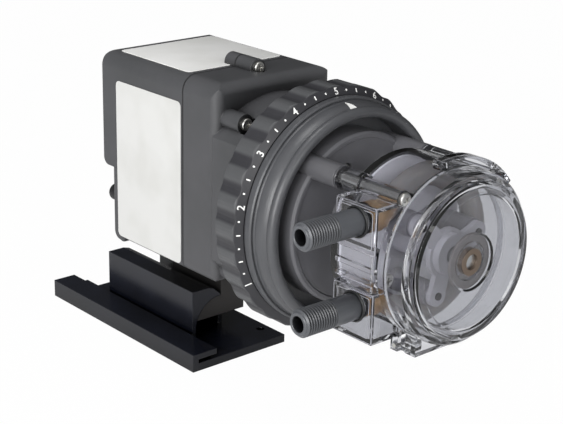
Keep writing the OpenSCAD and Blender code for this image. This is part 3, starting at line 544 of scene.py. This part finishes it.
# The same film painted a greyer white, as painted shade that keeps it from clipping in the key light: the side's
# label
SIDE_LABEL = PrintedVinyl("greyed_vinyl", "#CFCFCD", 0.5)
# Screen-printed white ink: numerals, ticks and the index
INK = PrintedVinyl("white_ink", "#F2F2F0", 0.5)
FLOOR = Ground("pale_floor", "#F0F0F0", 0.98)

NODE_FINISHES: dict[Finish, tuple[str, ...]] = {
    BRACKET: ("mounting_bracket",),
    HOUSING: ("rear_cover", "front_cover"),
    FOOT: ("slide_foot",),
    DIAL: ("dial_ring",),
    BEZEL: ("bezel",),
    HEAD: ("head_bracket",),
    BLACK: ("cord_gland",),
    CLEAR: ("tube_housing", "head_cover", "bottom_latch"),
    FITTING: ("upper_fitting", "lower_fitting"),
    ACETAL: ("roller_carrier", "first_gear", "second_gear", "output_gear"),
    ROLLER: ("roller_1", "roller_2", "roller_3"),
    TUBE: ("tube_clamps",),
    SCREW: ("housing_screws", "bracket_screws", "head_screws", "latch_pin", "stop_pin"),
    STEEL: ("motor_shaft", "drive_shaft", "index_plate", "gear_plate", "motor_brackets"),
    BLACKED: ("roller_axles",),
    LAMINATION: ("stator_core", "rotor_core"),
    COPPER: ("field_coil",),
    BRONZE: ("motor_bearings", "neck_bearing", "shaft_bearing", "cover_bearing"),
}


def new_object(
    name: str, points: np.ndarray, faces: Sequence[Sequence[int]], finish: Finish, smooth: bool = True
) -> Piece:
    """Put points and faces into a mesh object at the origin.

    Args:
        name: the piece's name.
        points: vertex places in metres, one row each.
        faces: vertex numbers of each face, outward by the right-hand rule.
        finish: what it is made of.
        smooth: whether it is shaded smooth, with edges over 35 degrees kept sharp.

    Returns:
        The object, linked to the scene.
    """
    mesh = bpy.data.meshes.new(name)
    mesh.from_pydata(points.reshape(-1, 3).tolist(), [], [list(map(int, f)) for f in faces])
    mesh.update()
    mesh.materials.append(finish.material())
    if smooth:
        mesh.shade_smooth()
        mesh.set_sharp_from_angle(angle=math.radians(35))
    made = bpy.data.objects.new(name, mesh)
    bpy.context.scene.collection.objects.link(made)
    return made


def grid_faces(rows: int, columns: int, close_rows: bool, close_columns: bool, start: int = 0) -> np.ndarray:
    """Quads between neighbouring points of a grid.

    Args:
        rows: points along the first parameter.
        columns: points along the second parameter.
        close_rows: whether the last row joins the first.
        close_columns: whether the last column joins the first.
        start: number of the grid's first vertex.

    Returns:
        Four vertex numbers for each quad.
    """
    i = np.arange(rows if close_rows else rows - 1)[:, None]
    j = np.arange(columns if close_columns else columns - 1)[None, :]
    i2, j2 = (i + 1) % rows, (j + 1) % columns
    quad = np.stack([i * columns + j, i2 * columns + j, i2 * columns + j2, i * columns + j2], axis=-1)
    return quad.reshape(-1, 4) + start


def axial(x: np.ndarray, y: np.ndarray, d: np.ndarray) -> np.ndarray:
    """Row-frame places in metres of points given in millimetres along the pump axis.

    Args:
        x: to the right, seen from the head.
        y: up from the axis.
        d: station ahead of the plane y = 0.

    Returns:
        Points with X, -station, and height, in metres.
    """
    x, y, d = np.broadcast_arrays(x, y, d)
    return np.stack([x, -d, AXIS_Z + y], axis=-1) * MM


def slab(
    name: str, outline: np.ndarray, thickness: float, soften: float, place: Placing, finish: Finish
) -> Piece:
    """Thin plate over a closed outline, its upper edge softened by a quarter round.

    The rim runs up the side, then round a quarter circle of radius soften, where the outline is
    drawn in along its own normal by soften times one minus the cosine of the turn.

    Args:
        name: the piece's name.
        outline: counter-clockwise outline points, in millimetres.
        thickness: height of the plate, in millimetres.
        soften: radius of the upper edge, in millimetres.
        place: turns rows of (u, v, height) into row-frame metres.
        finish: what it is made of.

    Returns:
        The plate.
    """
    ahead, behind = np.roll(outline, -1, axis=0), np.roll(outline, 1, axis=0)
    along = ahead - behind
    normal = np.stack([along[:, 1], -along[:, 0]], axis=1)
    normal /= np.linalg.norm(normal, axis=1)[:, None]
    turns = np.linspace(0, math.pi / 2, 4)
    inset = np.concatenate([[0.0], soften * (1 - np.cos(turns))])
    height = np.concatenate([[0.0], thickness - soften + soften * np.sin(turns)])
    flat = outline[None] - normal[None] * inset[:, None, None]
    rings = np.concatenate([flat, np.broadcast_to(height[:, None, None], flat.shape[:2] + (1,))], axis=-1)
    count = len(outline)
    faces = [list(f[::-1]) for f in grid_faces(len(inset), count, False, True)]
    faces.append(list(range(count))[::-1])
    faces.append(list(range((len(inset) - 1) * count, len(inset) * count)))
    return new_object(name, place(rings.reshape(-1, 3)), faces, finish)


def rounded_outline(width: float, height: float, radius: float, steps: int = 8) -> np.ndarray:
    """Rounded rectangle about the origin: quarter circles at the four corners, counter-clockwise.

    Args:
        width: along the first axis, in millimetres.
        height: along the second axis.
        radius: of the corners.
        steps: points on each corner.

    Returns:
        Outline points, one row each.
    """
    turn = np.linspace(0, math.pi / 2, steps)
    corners = []
    for k, (sx, sy) in enumerate(((1, 1), (-1, 1), (-1, -1), (1, -1))):
        a = turn + k * math.pi / 2
        u = sx * (width / 2 - radius) + radius * np.cos(a)
        corners.append(np.stack([u, sy * (height / 2 - radius) + radius * np.sin(a)], axis=1))
    return np.concatenate(corners)


def ring(
    name: str, profile: np.ndarray, centre: np.ndarray, axis: int, finish: Finish, steps: int = 96
) -> Piece:
    """Closed ring: a closed profile of (radius, along) turned round a line.

    Args:
        name: the piece's name.
        profile: closed outline of (radius, distance along the line), in millimetres.
        centre: point on the line, in row-frame millimetres.
        axis: 0 for a line along X, 1 for one along -Y.
        finish: what it is made of.
        steps: points round the ring.

    Returns:
        The ring.
    """
    turn = np.linspace(0, 2 * math.pi, steps, endpoint=False)[:, None]
    radius, along = profile[None, :, 0], profile[None, :, 1]
    along = np.broadcast_to(along, (steps, profile.shape[0]))
    if axis == 0:
        points = np.stack([along, radius * np.cos(turn), radius * np.sin(turn)], axis=-1)
    else:
        points = np.stack([radius * np.cos(turn), -along, radius * np.sin(turn)], axis=-1)
    points = (points + centre) * MM
    faces = grid_faces(steps, profile.shape[0], True, True)
    made = new_object(name, points, faces, finish)
    face_outward(made)
    return made


def face_outward(made: Piece) -> None:
    """Turn a closed mesh's faces outward.

    Args:
        made: the piece, changed in place.
    """
    work = bmesh.new()
    work.from_mesh(made.data)
    bmesh.ops.recalc_face_normals(work, faces=work.faces)
    work.to_mesh(made.data)
    work.free()


def ride(made: Piece, body: Body = Body.PUMP) -> Piece:
    """Let a piece ride on a body.

    Args:
        made: the piece.
        body: the body that carries it.

    Returns:
        The piece.
    """
    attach(made, body.value)
    LOG.info("%s: %d faces, rides on %s", made.name, len(made.data.polygons), body.value)
    return made


@dataclass
class Housing:
    """Motor housing's dressing: its low back and two bare labels."""

    side_x: float = -42.0
    side_y: Pair = (-72.0, -10.2)
    side_z: Pair = (69.4, 164.7)
    top_z: float = 180.0
    top_x: Pair = (-34.8, 33.5)
    top_y: Pair = (-69.5, -4.0)
    film: float = 0.28
    half_w: float = 42.0
    floor_z: float = 66.0
    step_z: float = 111.4
    back_y: float = -5.3
    inner_y: float = -15.0
    back_r: float = 5.5
    back_edge: float = 1.2
    label_r: float = 3.0
    label_edge: float = 0.1

    def back_panel(self) -> None:
        """Make the low back of the housing in two halves that meet on the middle plane.

        The outline in (y, z) is a rectangle whose low rear corner is a quarter circle.
        """
        turn = np.linspace(-math.pi / 2, 0, 9)
        corner = np.stack(
            [
                self.back_y - self.back_r + self.back_r * np.cos(turn),
                self.floor_z + self.back_r + self.back_r * np.sin(turn),
            ],
            axis=1,
        )
        top = [[self.back_y, self.step_z], [self.inner_y, self.step_z]]
        outline = np.concatenate([corner, top, [[self.inner_y, self.floor_z]]])
        for name, side in (("low_back_left", -1.0), ("low_back_right", 1.0)):

            def on_half(p: np.ndarray, side: float = side) -> np.ndarray:
                """Place (y, z, h) on one half: h runs outward from the middle plane."""
                return np.stack([side * p[:, 2], p[:, 0], p[:, 1]], axis=1) * MM

            made = slab(name, outline, self.half_w, self.back_edge, on_half, HOUSING)
            face_outward(made)
            ride(made)

    def build(self) -> None:
        """Make the low back and both labels."""
        self.back_panel()
        cy, cz = sum(self.side_y) / 2, sum(self.side_z) / 2

        def on_side(p: np.ndarray) -> np.ndarray:
            """Place (u, v, h) on the side: u runs forward, v runs up."""
            return np.stack([self.side_x - p[:, 2], cy - p[:, 0], cz + p[:, 1]], axis=1) * MM

        size = (self.side_y[1] - self.side_y[0], self.side_z[1] - self.side_z[0])
        outline = rounded_outline(*size, self.label_r)
        side = slab("side_label", outline[::-1], self.film, self.label_edge, on_side, SIDE_LABEL)
        ride(side)
        tx, ty = sum(self.top_x) / 2, sum(self.top_y) / 2

        def on_top(p: np.ndarray) -> np.ndarray:
            """Place (u, v, h) on the top: u runs right, v runs back."""
            return np.stack([tx + p[:, 0], ty + p[:, 1], self.top_z + p[:, 2]], axis=1) * MM

        outline = rounded_outline(self.top_x[1] - self.top_x[0], self.top_y[1] - self.top_y[0], self.label_r)
        ride(slab("top_label", outline, self.film, self.label_edge, on_top, LABEL))


@dataclass
class FeedDial:
    """White numerals and ticks on the dial ring's sloping face, and the bezel's index."""

    outer: Pair = (67.2, 150.0)
    inner: Pair = (63.0, 152.5)
    numeral_r: float = 65.2
    numeral_h: float = 3.9
    proud: float = 0.12
    first_angle: float = 207.2
    step: float = 26.0
    first_step: float = 39.4
    index_angle: float = 90.6
    index_half: float = 2.7
    index_tip: float = 0.15
    index_span: Pair = (0.04, 0.86)
    index_lift: Pair = (-0.25, 0.16)
    slope_from: Pair = (60.7, 158.8)
    slope_run: Pair = (-3.3, 9.6)
    slope_bulge: float = 1.1

    def on_face(self, u: np.ndarray, v: np.ndarray, h: np.ndarray, angle: float) -> np.ndarray:
        """Place points on the ring's sloping face.

        Args:
            u: distance round the ring from the mark's middle, clockwise, in millimetres.
            v: distance outward along the slope from the numerals' circle.
            h: height over the slope.
            angle: the mark's angle in degrees.

        Returns:
            Row-frame points in metres.
        """
        (r0, d0), (r1, d1) = self.outer, self.inner
        length = math.hypot(r1 - r0, d1 - d0)
        slope_r, slope_d = (r0 - r1) / length, (d0 - d1) / length
        d_mid = d0 + (self.numeral_r - r0) * (d1 - d0) / (r1 - r0)
        r = self.numeral_r + v * slope_r - h * slope_d
        d = d_mid + v * slope_d + h * slope_r
        turn = math.radians(angle) - u / self.numeral_r
        return axial(r * np.cos(turn), r * np.sin(turn), d)

    def number_angle(self, number: int) -> float:
        """Return the angle of a numeral in degrees."""
        past_first = self.first_step + self.step * (number - 2) if number > 1 else 0.0
        return self.first_angle - past_first

    def numeral(self, number: int) -> tuple[np.ndarray, list[list[int]]]:
        """Solid numeral bent round the face.

        Args:
            number: 1 to 10.

        Returns:
            Its points and faces.
        """
        curve = bpy.data.curves.new("numeral", "FONT")
        curve.body = str(number)
        curve.size = self.numeral_h / 0.7
        curve.align_x = "CENTER"
        curve.align_y = "CENTER"
        curve.extrude = self.proud
        curve.offset = 0.06
        curve.resolution_u = 3
        holder = bpy.data.objects.new("numeral", curve)
        bpy.context.scene.collection.objects.link(holder)
        mesh = bpy.data.meshes.new_from_object(holder.evaluated_get(bpy.context.evaluated_depsgraph_get()))
        co = np.empty(len(mesh.vertices) * 3)
        mesh.vertices.foreach_get("co", co)
        co = co.reshape(-1, 3)
        co[:, :2] -= (co[:, :2].max(0) + co[:, :2].min(0)) / 2
        faces = [list(p.vertices) for p in mesh.polygons]
        points = self.on_face(co[:, 0], co[:, 1], co[:, 2], self.number_angle(number))
        bpy.data.objects.remove(holder)
        bpy.data.curves.remove(curve)
        bpy.data.meshes.remove(mesh)
        return points, faces

    def tick(self, angle: float, length: float, width: float) -> tuple[np.ndarray, list[list[int]]]:
        """Tick with rounded ends.

        Args:
            angle: its place round the ring, in degrees.
            length: its length along the slope, in millimetres.
            width: its width.

        Returns:
            Its points and faces.
        """
        outline = rounded_outline(width, length, width * 0.45, 4)
        count = len(outline)
        rings = np.concatenate(
            [np.column_stack([outline, np.full(count, h)]) for h in (-self.proud, self.proud)]
        )
        faces = [list(f[::-1]) for f in grid_faces(2, count, False, True)]
        faces += [list(range(count))[::-1], list(range(count, 2 * count))]
        return self.on_face(rings[:, 0], rings[:, 1], rings[:, 2], angle), faces

    def marks(self) -> list[tuple[np.ndarray, list[list[int]]]]:
        """Lay out the numerals, then the ticks between them.

        Returns:
            Points and faces of each mark.
        """
        made = [self.numeral(n) for n in range(1, 11)]
        for n in range(1, 10):
            start, end = self.number_angle(n), self.number_angle(n + 1)
            parts = 6 if n == 1 else 4
            for k in range(1, parts):
                long = k % 2 == 0
                angle = start + (end - start) * k / parts
                made.append(self.tick(angle, 2.3 if long else 1.2, 0.75 if long else 0.95))
        return made

    def build(self) -> None:
        """Make the scale and the index."""
        points, faces, start = [], [], 0
        for p, f in self.marks():
            points.append(p)
            faces += [[v + start for v in face] for face in f]
            start += len(p)
        scale = new_object("dial_scale", np.concatenate(points), faces, INK, smooth=False)
        face_outward(scale)
        ride(scale, Body.DIAL)
        index = self.index()
        face_outward(index)
        ride(index)

    def index(self) -> Piece:
        """White wedge on the bezel's slope that points at the scale.

        With t from 0 at the ring to 1 at the rim, the slope's radius is its start plus its run
        times t plus its bulge times sin(pi t), and its station is its start plus its run times t;
        the wedge's half width grows evenly with t.

        Returns:
            The index.
        """
        t = np.linspace(*self.index_span, 16)[:, None]
        half = self.index_tip + (self.index_half - self.index_tip) * (t - t[0]) / (t[-1] - t[0])
        (r0, d0), (run_r, run_d), (low, high) = self.slope_from, self.slope_run, self.index_lift
        slope_r = run_r + self.slope_bulge * math.pi * np.cos(math.pi * t)
        length = np.hypot(slope_r, run_d)
        side = np.array([-1.0, 1.0, 1.0, -1.0])[None] * half
        lift = np.array([low, low, high, high])[None]
        r = r0 + run_r * t + self.slope_bulge * np.sin(math.pi * t) + lift * run_d / length
        d = d0 + run_d * t - lift * slope_r / length
        turn = math.radians(self.index_angle) - side / r
        points = axial(r * np.cos(turn), r * np.sin(turn), d)
        last = 4 * (len(t) - 1)
        faces = [list(f) for f in grid_faces(len(t), 4, False, True)]
        faces += [[3, 2, 1, 0], [last, last + 1, last + 2, last + 3]]
        return new_object("dial_index", points, faces, INK, smooth=False)


@dataclass
class PumpTube:
    """Tan pump tube: straight ends, a bend at each port and the round track between them."""

    port_y: float = 22.0
    end_x: float = -42.3
    track_r: float = 35.5
    bend_r: float = 14.0
    station: float = 219.0
    radius: float = 6.15
    wall: float = 2.0

    def route(self) -> np.ndarray:
        """Lay out the centre line: line, arc, long arc, arc, line.

        Returns:
            Points of (x, y), in millimetres.
        """
        bend = math.acos((self.port_y + self.bend_r) / (self.track_r + self.bend_r))
        bend_x = -(self.track_r + self.bend_r) * math.sin(bend)
        up = np.stack([np.linspace(self.end_x, bend_x, 6, endpoint=False), np.full(6, self.port_y)], axis=1)
        a = np.linspace(-math.pi / 2, -math.pi / 2 + bend, 12, endpoint=False)
        first_y = self.port_y + self.bend_r + self.bend_r * np.sin(a)
        first = np.stack([bend_x + self.bend_r * np.cos(a), first_y], axis=1)
        t = np.linspace(math.pi / 2 + bend, -math.pi / 2 - bend, 90)
        track = np.stack([self.track_r * np.cos(t), self.track_r * np.sin(t)], axis=1)
        back = np.concatenate([up, first])[::-1] * [1, -1]
        return np.concatenate([up, first, track, back])

    def build(self) -> None:
        """Sweep the tube's two walls along the route as one closed surface.

        A point of the surface is the route's point plus radius times (cos b times the normal in
        the plane plus sin b times the axis); the outer wall runs forward and the inner one back.
        """
        route = self.route()
        along = np.gradient(route, axis=0)
        along /= np.linalg.norm(along, axis=1)[:, None]
        normal = np.stack([-along[:, 1], along[:, 0]], axis=1)
        b = np.linspace(0, 2 * math.pi, 32, endpoint=False)
        walls = []
        for radius, flip in ((self.radius, 1), (self.radius - self.wall, -1)):
            xy = route[:, None] + radius * np.cos(b)[None, :, None] * normal[:, None]
            d = self.station + np.broadcast_to(radius * np.sin(b), xy.shape[:2])
            walls.append(axial(xy[..., 0], xy[..., 1], d)[::flip])
        points = np.concatenate(walls)
        made = new_object("rubber_pump_tube", points, grid_faces(points.shape[0], 32, True, True), TUBE)
        face_outward(made)
        ride(made)
        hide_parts("pump_tube")


@dataclass
class PortSeals:
    """Black seal rings where the fittings enter their boxes."""

    port_y: float = 22.0
    station: float = 219.0
    inner: float = 6.95
    wall: float = 1.3
    face_x: float = -47.0

    def build(self) -> None:
        """One ring with a round section at each port."""
        a = np.linspace(0, 2 * math.pi, 16, endpoint=False)
        mid = self.inner + self.wall / 2
        profile = np.stack([mid + self.wall / 2 * np.cos(a), self.wall / 2 * np.sin(a)], axis=1)
        for name, y in (("upper_seal", self.port_y), ("lower_seal", -self.port_y)):
            centre = np.array([self.face_x - self.wall / 2, -self.station, AXIS_Z + y])
            ride(ring(name, profile, centre, 0, BLACK, 64))


@dataclass
class PortEdges:
    """Pale bars along the clear port boxes' edges, as painted highlights on their glossy edges."""

    name: str
    low: float
    high: float
    left_x: float = -46.75
    top_x: float = -35.0
    stations: Pair = (204.3, 231.7)
    wall: float = 2.4
    bar_r: float = 0.28
    corner_r: float = 1.2
    inset: float = 0.4
    sides: int = 12

    def loop(self, centre: Pair, size: Pair, place: Placing) -> np.ndarray:
        """Round bar along a rounded rectangle.

        Args:
            centre: middle of the rectangle in its plane, in millimetres.
            size: width and height of the rectangle.
            place: turns rows of (u, v, height) into row-frame metres.

        Returns:
            Points of the bar, one turn of them round each point of the rectangle.
        """
        path = rounded_outline(size[0], size[1], self.corner_r, 5)
        along = np.roll(path, -1, axis=0) - np.roll(path, 1, axis=0)
        out = np.stack([along[:, 1], -along[:, 0]], axis=1)
        out /= np.linalg.norm(out, axis=1)[:, None]
        b = np.linspace(0, 2 * math.pi, self.sides, endpoint=False)
        flat = path[:, None] + np.array(centre) + self.bar_r * np.cos(b)[None, :, None] * out[:, None]
        height = np.broadcast_to(self.bar_r * np.sin(b)[None, :, None], flat.shape[:2] + (1,))
        return place(np.concatenate([flat, height], axis=-1).reshape(-1, 3))

    def build(self) -> None:
        """Two loops on the left face, at the wall's outer and inner edge, and one on the top face."""
        (d0, d1), y0, y1 = self.stations, self.low + self.inset, self.high - self.inset

        def on_left(p: np.ndarray) -> np.ndarray:
            """Place (station, y, h) on the left face."""
            return axial(self.left_x + p[:, 2], p[:, 1], p[:, 0])

        def on_top(p: np.ndarray) -> np.ndarray:
            """Place (x, station, h) on the top face."""
            return axial(p[:, 0], y1 + p[:, 2], p[:, 1])

        middle, size = ((d0 + d1) / 2, (y0 + y1) / 2), (d1 - d0, y1 - y0)
        wide = self.top_x - self.left_x
        loops = [
            self.loop(middle, size, on_left),
            self.loop(middle, (size[0] - 2 * self.wall, size[1] - 2 * self.wall), on_left),
            self.loop((self.left_x + wide / 2, middle[0]), (wide, size[0]), on_top),
        ]
        count, sides = len(loops[0]), self.sides
        quads = [grid_faces(count // sides, sides, True, True, k * count) for k in range(len(loops))]
        faces = np.concatenate(quads)
        made = new_object(self.name, np.concatenate(loops), faces, PAINTED_EDGE_HIGHLIGHT)
        face_outward(made)
        ride(made)


@dataclass
class Fitting:
    """Grey threaded fitting turned round its own line: flared mouth, rolled thread, barrel and flange."""

    name: str
    port_y: float
    tip_x: float = -84.0
    station: float = 219.0
    thread_r: float = 7.1
    root_r: float = 6.05
    thread_l: float = 20.0
    pitch: float = 1.6
    barrel_r: float = 6.9
    length: float = 41.6
    flange_at: float = 39.7
    bore_r: float = 2.6
    mouth_r: float = 4.1
    mouth_l: float = 9.0
    mouth_slope: float = 0.6
    chamfer: float = 0.3
    lip: float = 0.2
    flange_l: float = 1.8
    thread_at: float = 1.0

    def profile(self) -> np.ndarray:
        """Closed outline of (radius, distance from the tip), up the outside and back down the bore.

        Along the thread the radius is the root's plus the crest's height times a raised cosine of
        the distance over the pitch, which gives rounded ridges.

        Returns:
            Outline points, one row each, in millimetres.
        """
        along = np.arange(self.thread_at, self.thread_l, self.pitch / 8)
        wave = 0.5 - 0.5 * np.cos(2 * math.pi * (along - self.thread_at) / self.pitch)
        thread = np.stack([self.root_r + (self.thread_r - self.root_r) * wave, along], axis=1)
        tip = [[self.mouth_r + self.chamfer, 0.0], [self.root_r - 0.5, 0.0], [self.root_r - 0.1, 0.4]]
        barrel = [
            [self.root_r, self.thread_l],
            [self.barrel_r - self.lip, self.thread_l + 0.1],
            [self.barrel_r, self.thread_l + self.chamfer],
            [self.barrel_r, self.flange_at],
            [self.barrel_r + self.lip, self.flange_at],
            [self.barrel_r + self.lip, self.flange_at + self.flange_l],
            [self.barrel_r, self.flange_at + self.flange_l],
            [self.barrel_r, self.length],
        ]
        bore = [
            [self.bore_r, self.length],
            [self.bore_r, self.mouth_l],
            [self.mouth_r, self.mouth_l - self.mouth_slope],
            [self.mouth_r, self.chamfer],
        ]
        return np.concatenate([tip, thread, barrel, bore])

    def build(self) -> None:
        """Turn the profile and put it in the place of the plain fitting."""
        centre = np.array([self.tip_x, -self.station, AXIS_Z + self.port_y])
        made = ring(f"turned_{self.name}", self.profile(), centre, 0, FITTING, 64)
        ride(made)
        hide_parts(self.name)


@dataclass
class HeadLinings:
    """Guessed linings of the clear head: a wear plate behind the rollers and a washer at the hub."""

    plate_r: Pair = (5.8, 41.0)
    plate_d: Pair = (202.25, 203.5)
    washer_r: Pair = (10.4, 14.6)
    washer_d: Pair = (248.4, 249.8)
    plate_edge: float = 0.3
    washer_edge: float = 0.4

    @staticmethod
    def flat_ring(radii: Pair, stations: Pair, soften: float) -> np.ndarray:
        """Cross-section of a flat ring, its outer front edge cut at 45 degrees.

        Args:
            radii: inner and outer radius, in millimetres.
            stations: back and front.
            soften: width of the cut edge.

        Returns:
            Closed outline of (radius, station).
        """
        (r0, r1), (d0, d1) = radii, stations
        return np.array([[r0, d0], [r1, d0], [r1, d1 - soften], [r1 - soften, d1], [r0, d1]])

    def build(self) -> None:
        """Make both rings about the pump axis."""
        centre = np.array([0.0, 0.0, AXIS_Z])
        plate = self.flat_ring(self.plate_r, self.plate_d, self.plate_edge)
        ride(ring("wear_plate", plate, centre, 1, WEAR, 128))
        washer = self.flat_ring(self.washer_r, self.washer_d, self.washer_edge)
        ride(ring("hub_washer", washer, centre, 1, WASHER, 96), Body.COVER)


@dataclass
class Studio:
    """Pale floor, soft lights and the photograph's camera."""

    place: Triple = (-506.018, -686.091, 370.993)
    azimuth: float = -0.720821
    elevation: float = 0.336849
    roll: float = 0.021991
    focal_px: float = 1442.0
    width_px: float = 563.0
    bright_side: Triple = (-0.72, -0.45, 0.53)
    dim: float = 0.03
    bright: float = 0.56
    floor_half: float = 4.0
    sensor_mm: float = 36.0

    def camera(self) -> None:
        """Camera at the photograph's viewpoint, with no shift."""
        a, e, k = self.azimuth, self.elevation, self.roll
        back = Vector((math.sin(a) * math.cos(e), -math.cos(a) * math.cos(e), math.sin(e)))
        right = Vector((math.cos(a), math.sin(a), 0.0))
        up = back.cross(right)
        turned_right = right * math.cos(k) + up * math.sin(k)
        turned_up = up * math.cos(k) - right * math.sin(k)
        data = bpy.data.cameras.new("camera")
        data.sensor_width = self.sensor_mm
        data.sensor_fit = "HORIZONTAL"
        data.lens = self.focal_px / self.width_px * self.sensor_mm
        data.clip_start = 0.05
        data.clip_end = 20.0
        made = bpy.data.objects.new("camera", data)
        turn = Matrix((turned_right, turned_up, back)).transposed().to_4x4()
        made.matrix_world = Matrix.Translation(Vector(self.place) * MM) @ turn
        bpy.context.scene.collection.objects.link(made)
        bpy.context.scene.camera = made

    def floor(self) -> None:
        """Large plain floor."""
        n = 24
        u = np.linspace(-self.floor_half, self.floor_half, n)
        x, y = np.meshgrid(u, u, indexing="ij")
        points = np.stack([x, y, np.full_like(x, -0.0003)], axis=-1)
        made = new_object("floor", points, grid_faces(n, n, False, False), FLOOR, smooth=False)

    @staticmethod
    def light(name: str, place: Sequence[float], aim: Sequence[float], size: float, power: float) -> None:
        """Soft square lamp.

        Args:
            name: the lamp's name.
            place: where it stands, in metres.
            aim: the point it looks at.
            size: its side, in metres.
            power: its power in watts.
        """
        data = bpy.data.lights.new(name, "AREA")
        data.shape = "SQUARE"
        data.size = size
        data.energy = power
        made = bpy.data.objects.new(name, data)
        made.location = place
        made.rotation_euler = (Vector(aim) - Vector(place)).to_track_quat("-Z", "Y").to_euler()
        bpy.context.scene.collection.objects.link(made)

    def world(self) -> None:
        """White to look at, softer as a light."""
        world = bpy.data.worlds.new("studio")
        bpy.context.scene.world = world
        world.use_nodes = True
        tree = world.node_tree
        tree.nodes.clear()
        path = add(tree, "ShaderNodeLightPath")
        toward = add(
            tree,
            "ShaderNodeVectorMath",
            {0: add(tree, "ShaderNodeTexCoord").outputs["Generated"], 1: self.bright_side},
            operation="DOT_PRODUCT",
        )
        soft = ranged(tree, toward.outputs["Value"], (-0.6, 0.8), (self.dim, self.bright))
        choice = {0: path.outputs["Is Camera Ray"], 2: soft, 3: 1.0}
        strength = add(tree, "ShaderNodeMix", choice, data_type="FLOAT")
        sky = add(tree, "ShaderNodeBackground", {"Color": linear("#FFFFFF"), "Strength": strength.outputs[0]})
        out = tree.nodes.new("ShaderNodeOutputWorld")
        tree.links.new(sky.outputs["Background"], out.inputs["Surface"])

    def build(self) -> None:
        """Camera, floor, world and lamps."""
        self.camera()
        self.floor()
        self.world()
        self.light("key", (-1.15, -0.55, 0.45), (0.0, -0.1, 0.1), 0.7, 13.0)
        self.light("front", (-0.25, -1.25, 0.5), (0.0, -0.15, 0.1), 0.6, 3.5)
        self.light("top", (-0.15, -0.05, 1.1), (0.0, -0.1, 0.12), 0.35, 2.2)
        bpy.context.scene.view_settings.view_transform = "Standard"


def dress_nodes() -> None:
    """Give each carried-over CAD node its finish."""
    for finish, names in NODE_FINISHES.items():
        for name in names:
            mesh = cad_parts[name].data
            for i in range(max(len(mesh.materials), 1)):
                if len(mesh.materials) <= i:
                    mesh.materials.append(finish.material())
                else:
                    mesh.materials[i] = finish.material()
            LOG.info("%s: %s", name, finish.name)


def main() -> None:
    """Build the studio, dress the frame and add the pieces, in order."""
    logging.basicConfig(level=logging.INFO, format="%(name)s %(message)s")
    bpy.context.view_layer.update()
    Studio().build()
    dress_nodes()
    for part in (
        Housing(),
        FeedDial(),
        PumpTube(),
        Fitting("upper_fitting", 22.0),
        Fitting("lower_fitting", -22.0),
        PortSeals(),
        PortEdges("upper_port_edges", 7.0, 31.6),
        PortEdges("lower_port_edges", -39.0, -12.4),
        HeadLinings(),
    ):
        part.build()
        LOG.info("%s done", type(part).__name__)


if __name__ == "__main__":
    main()
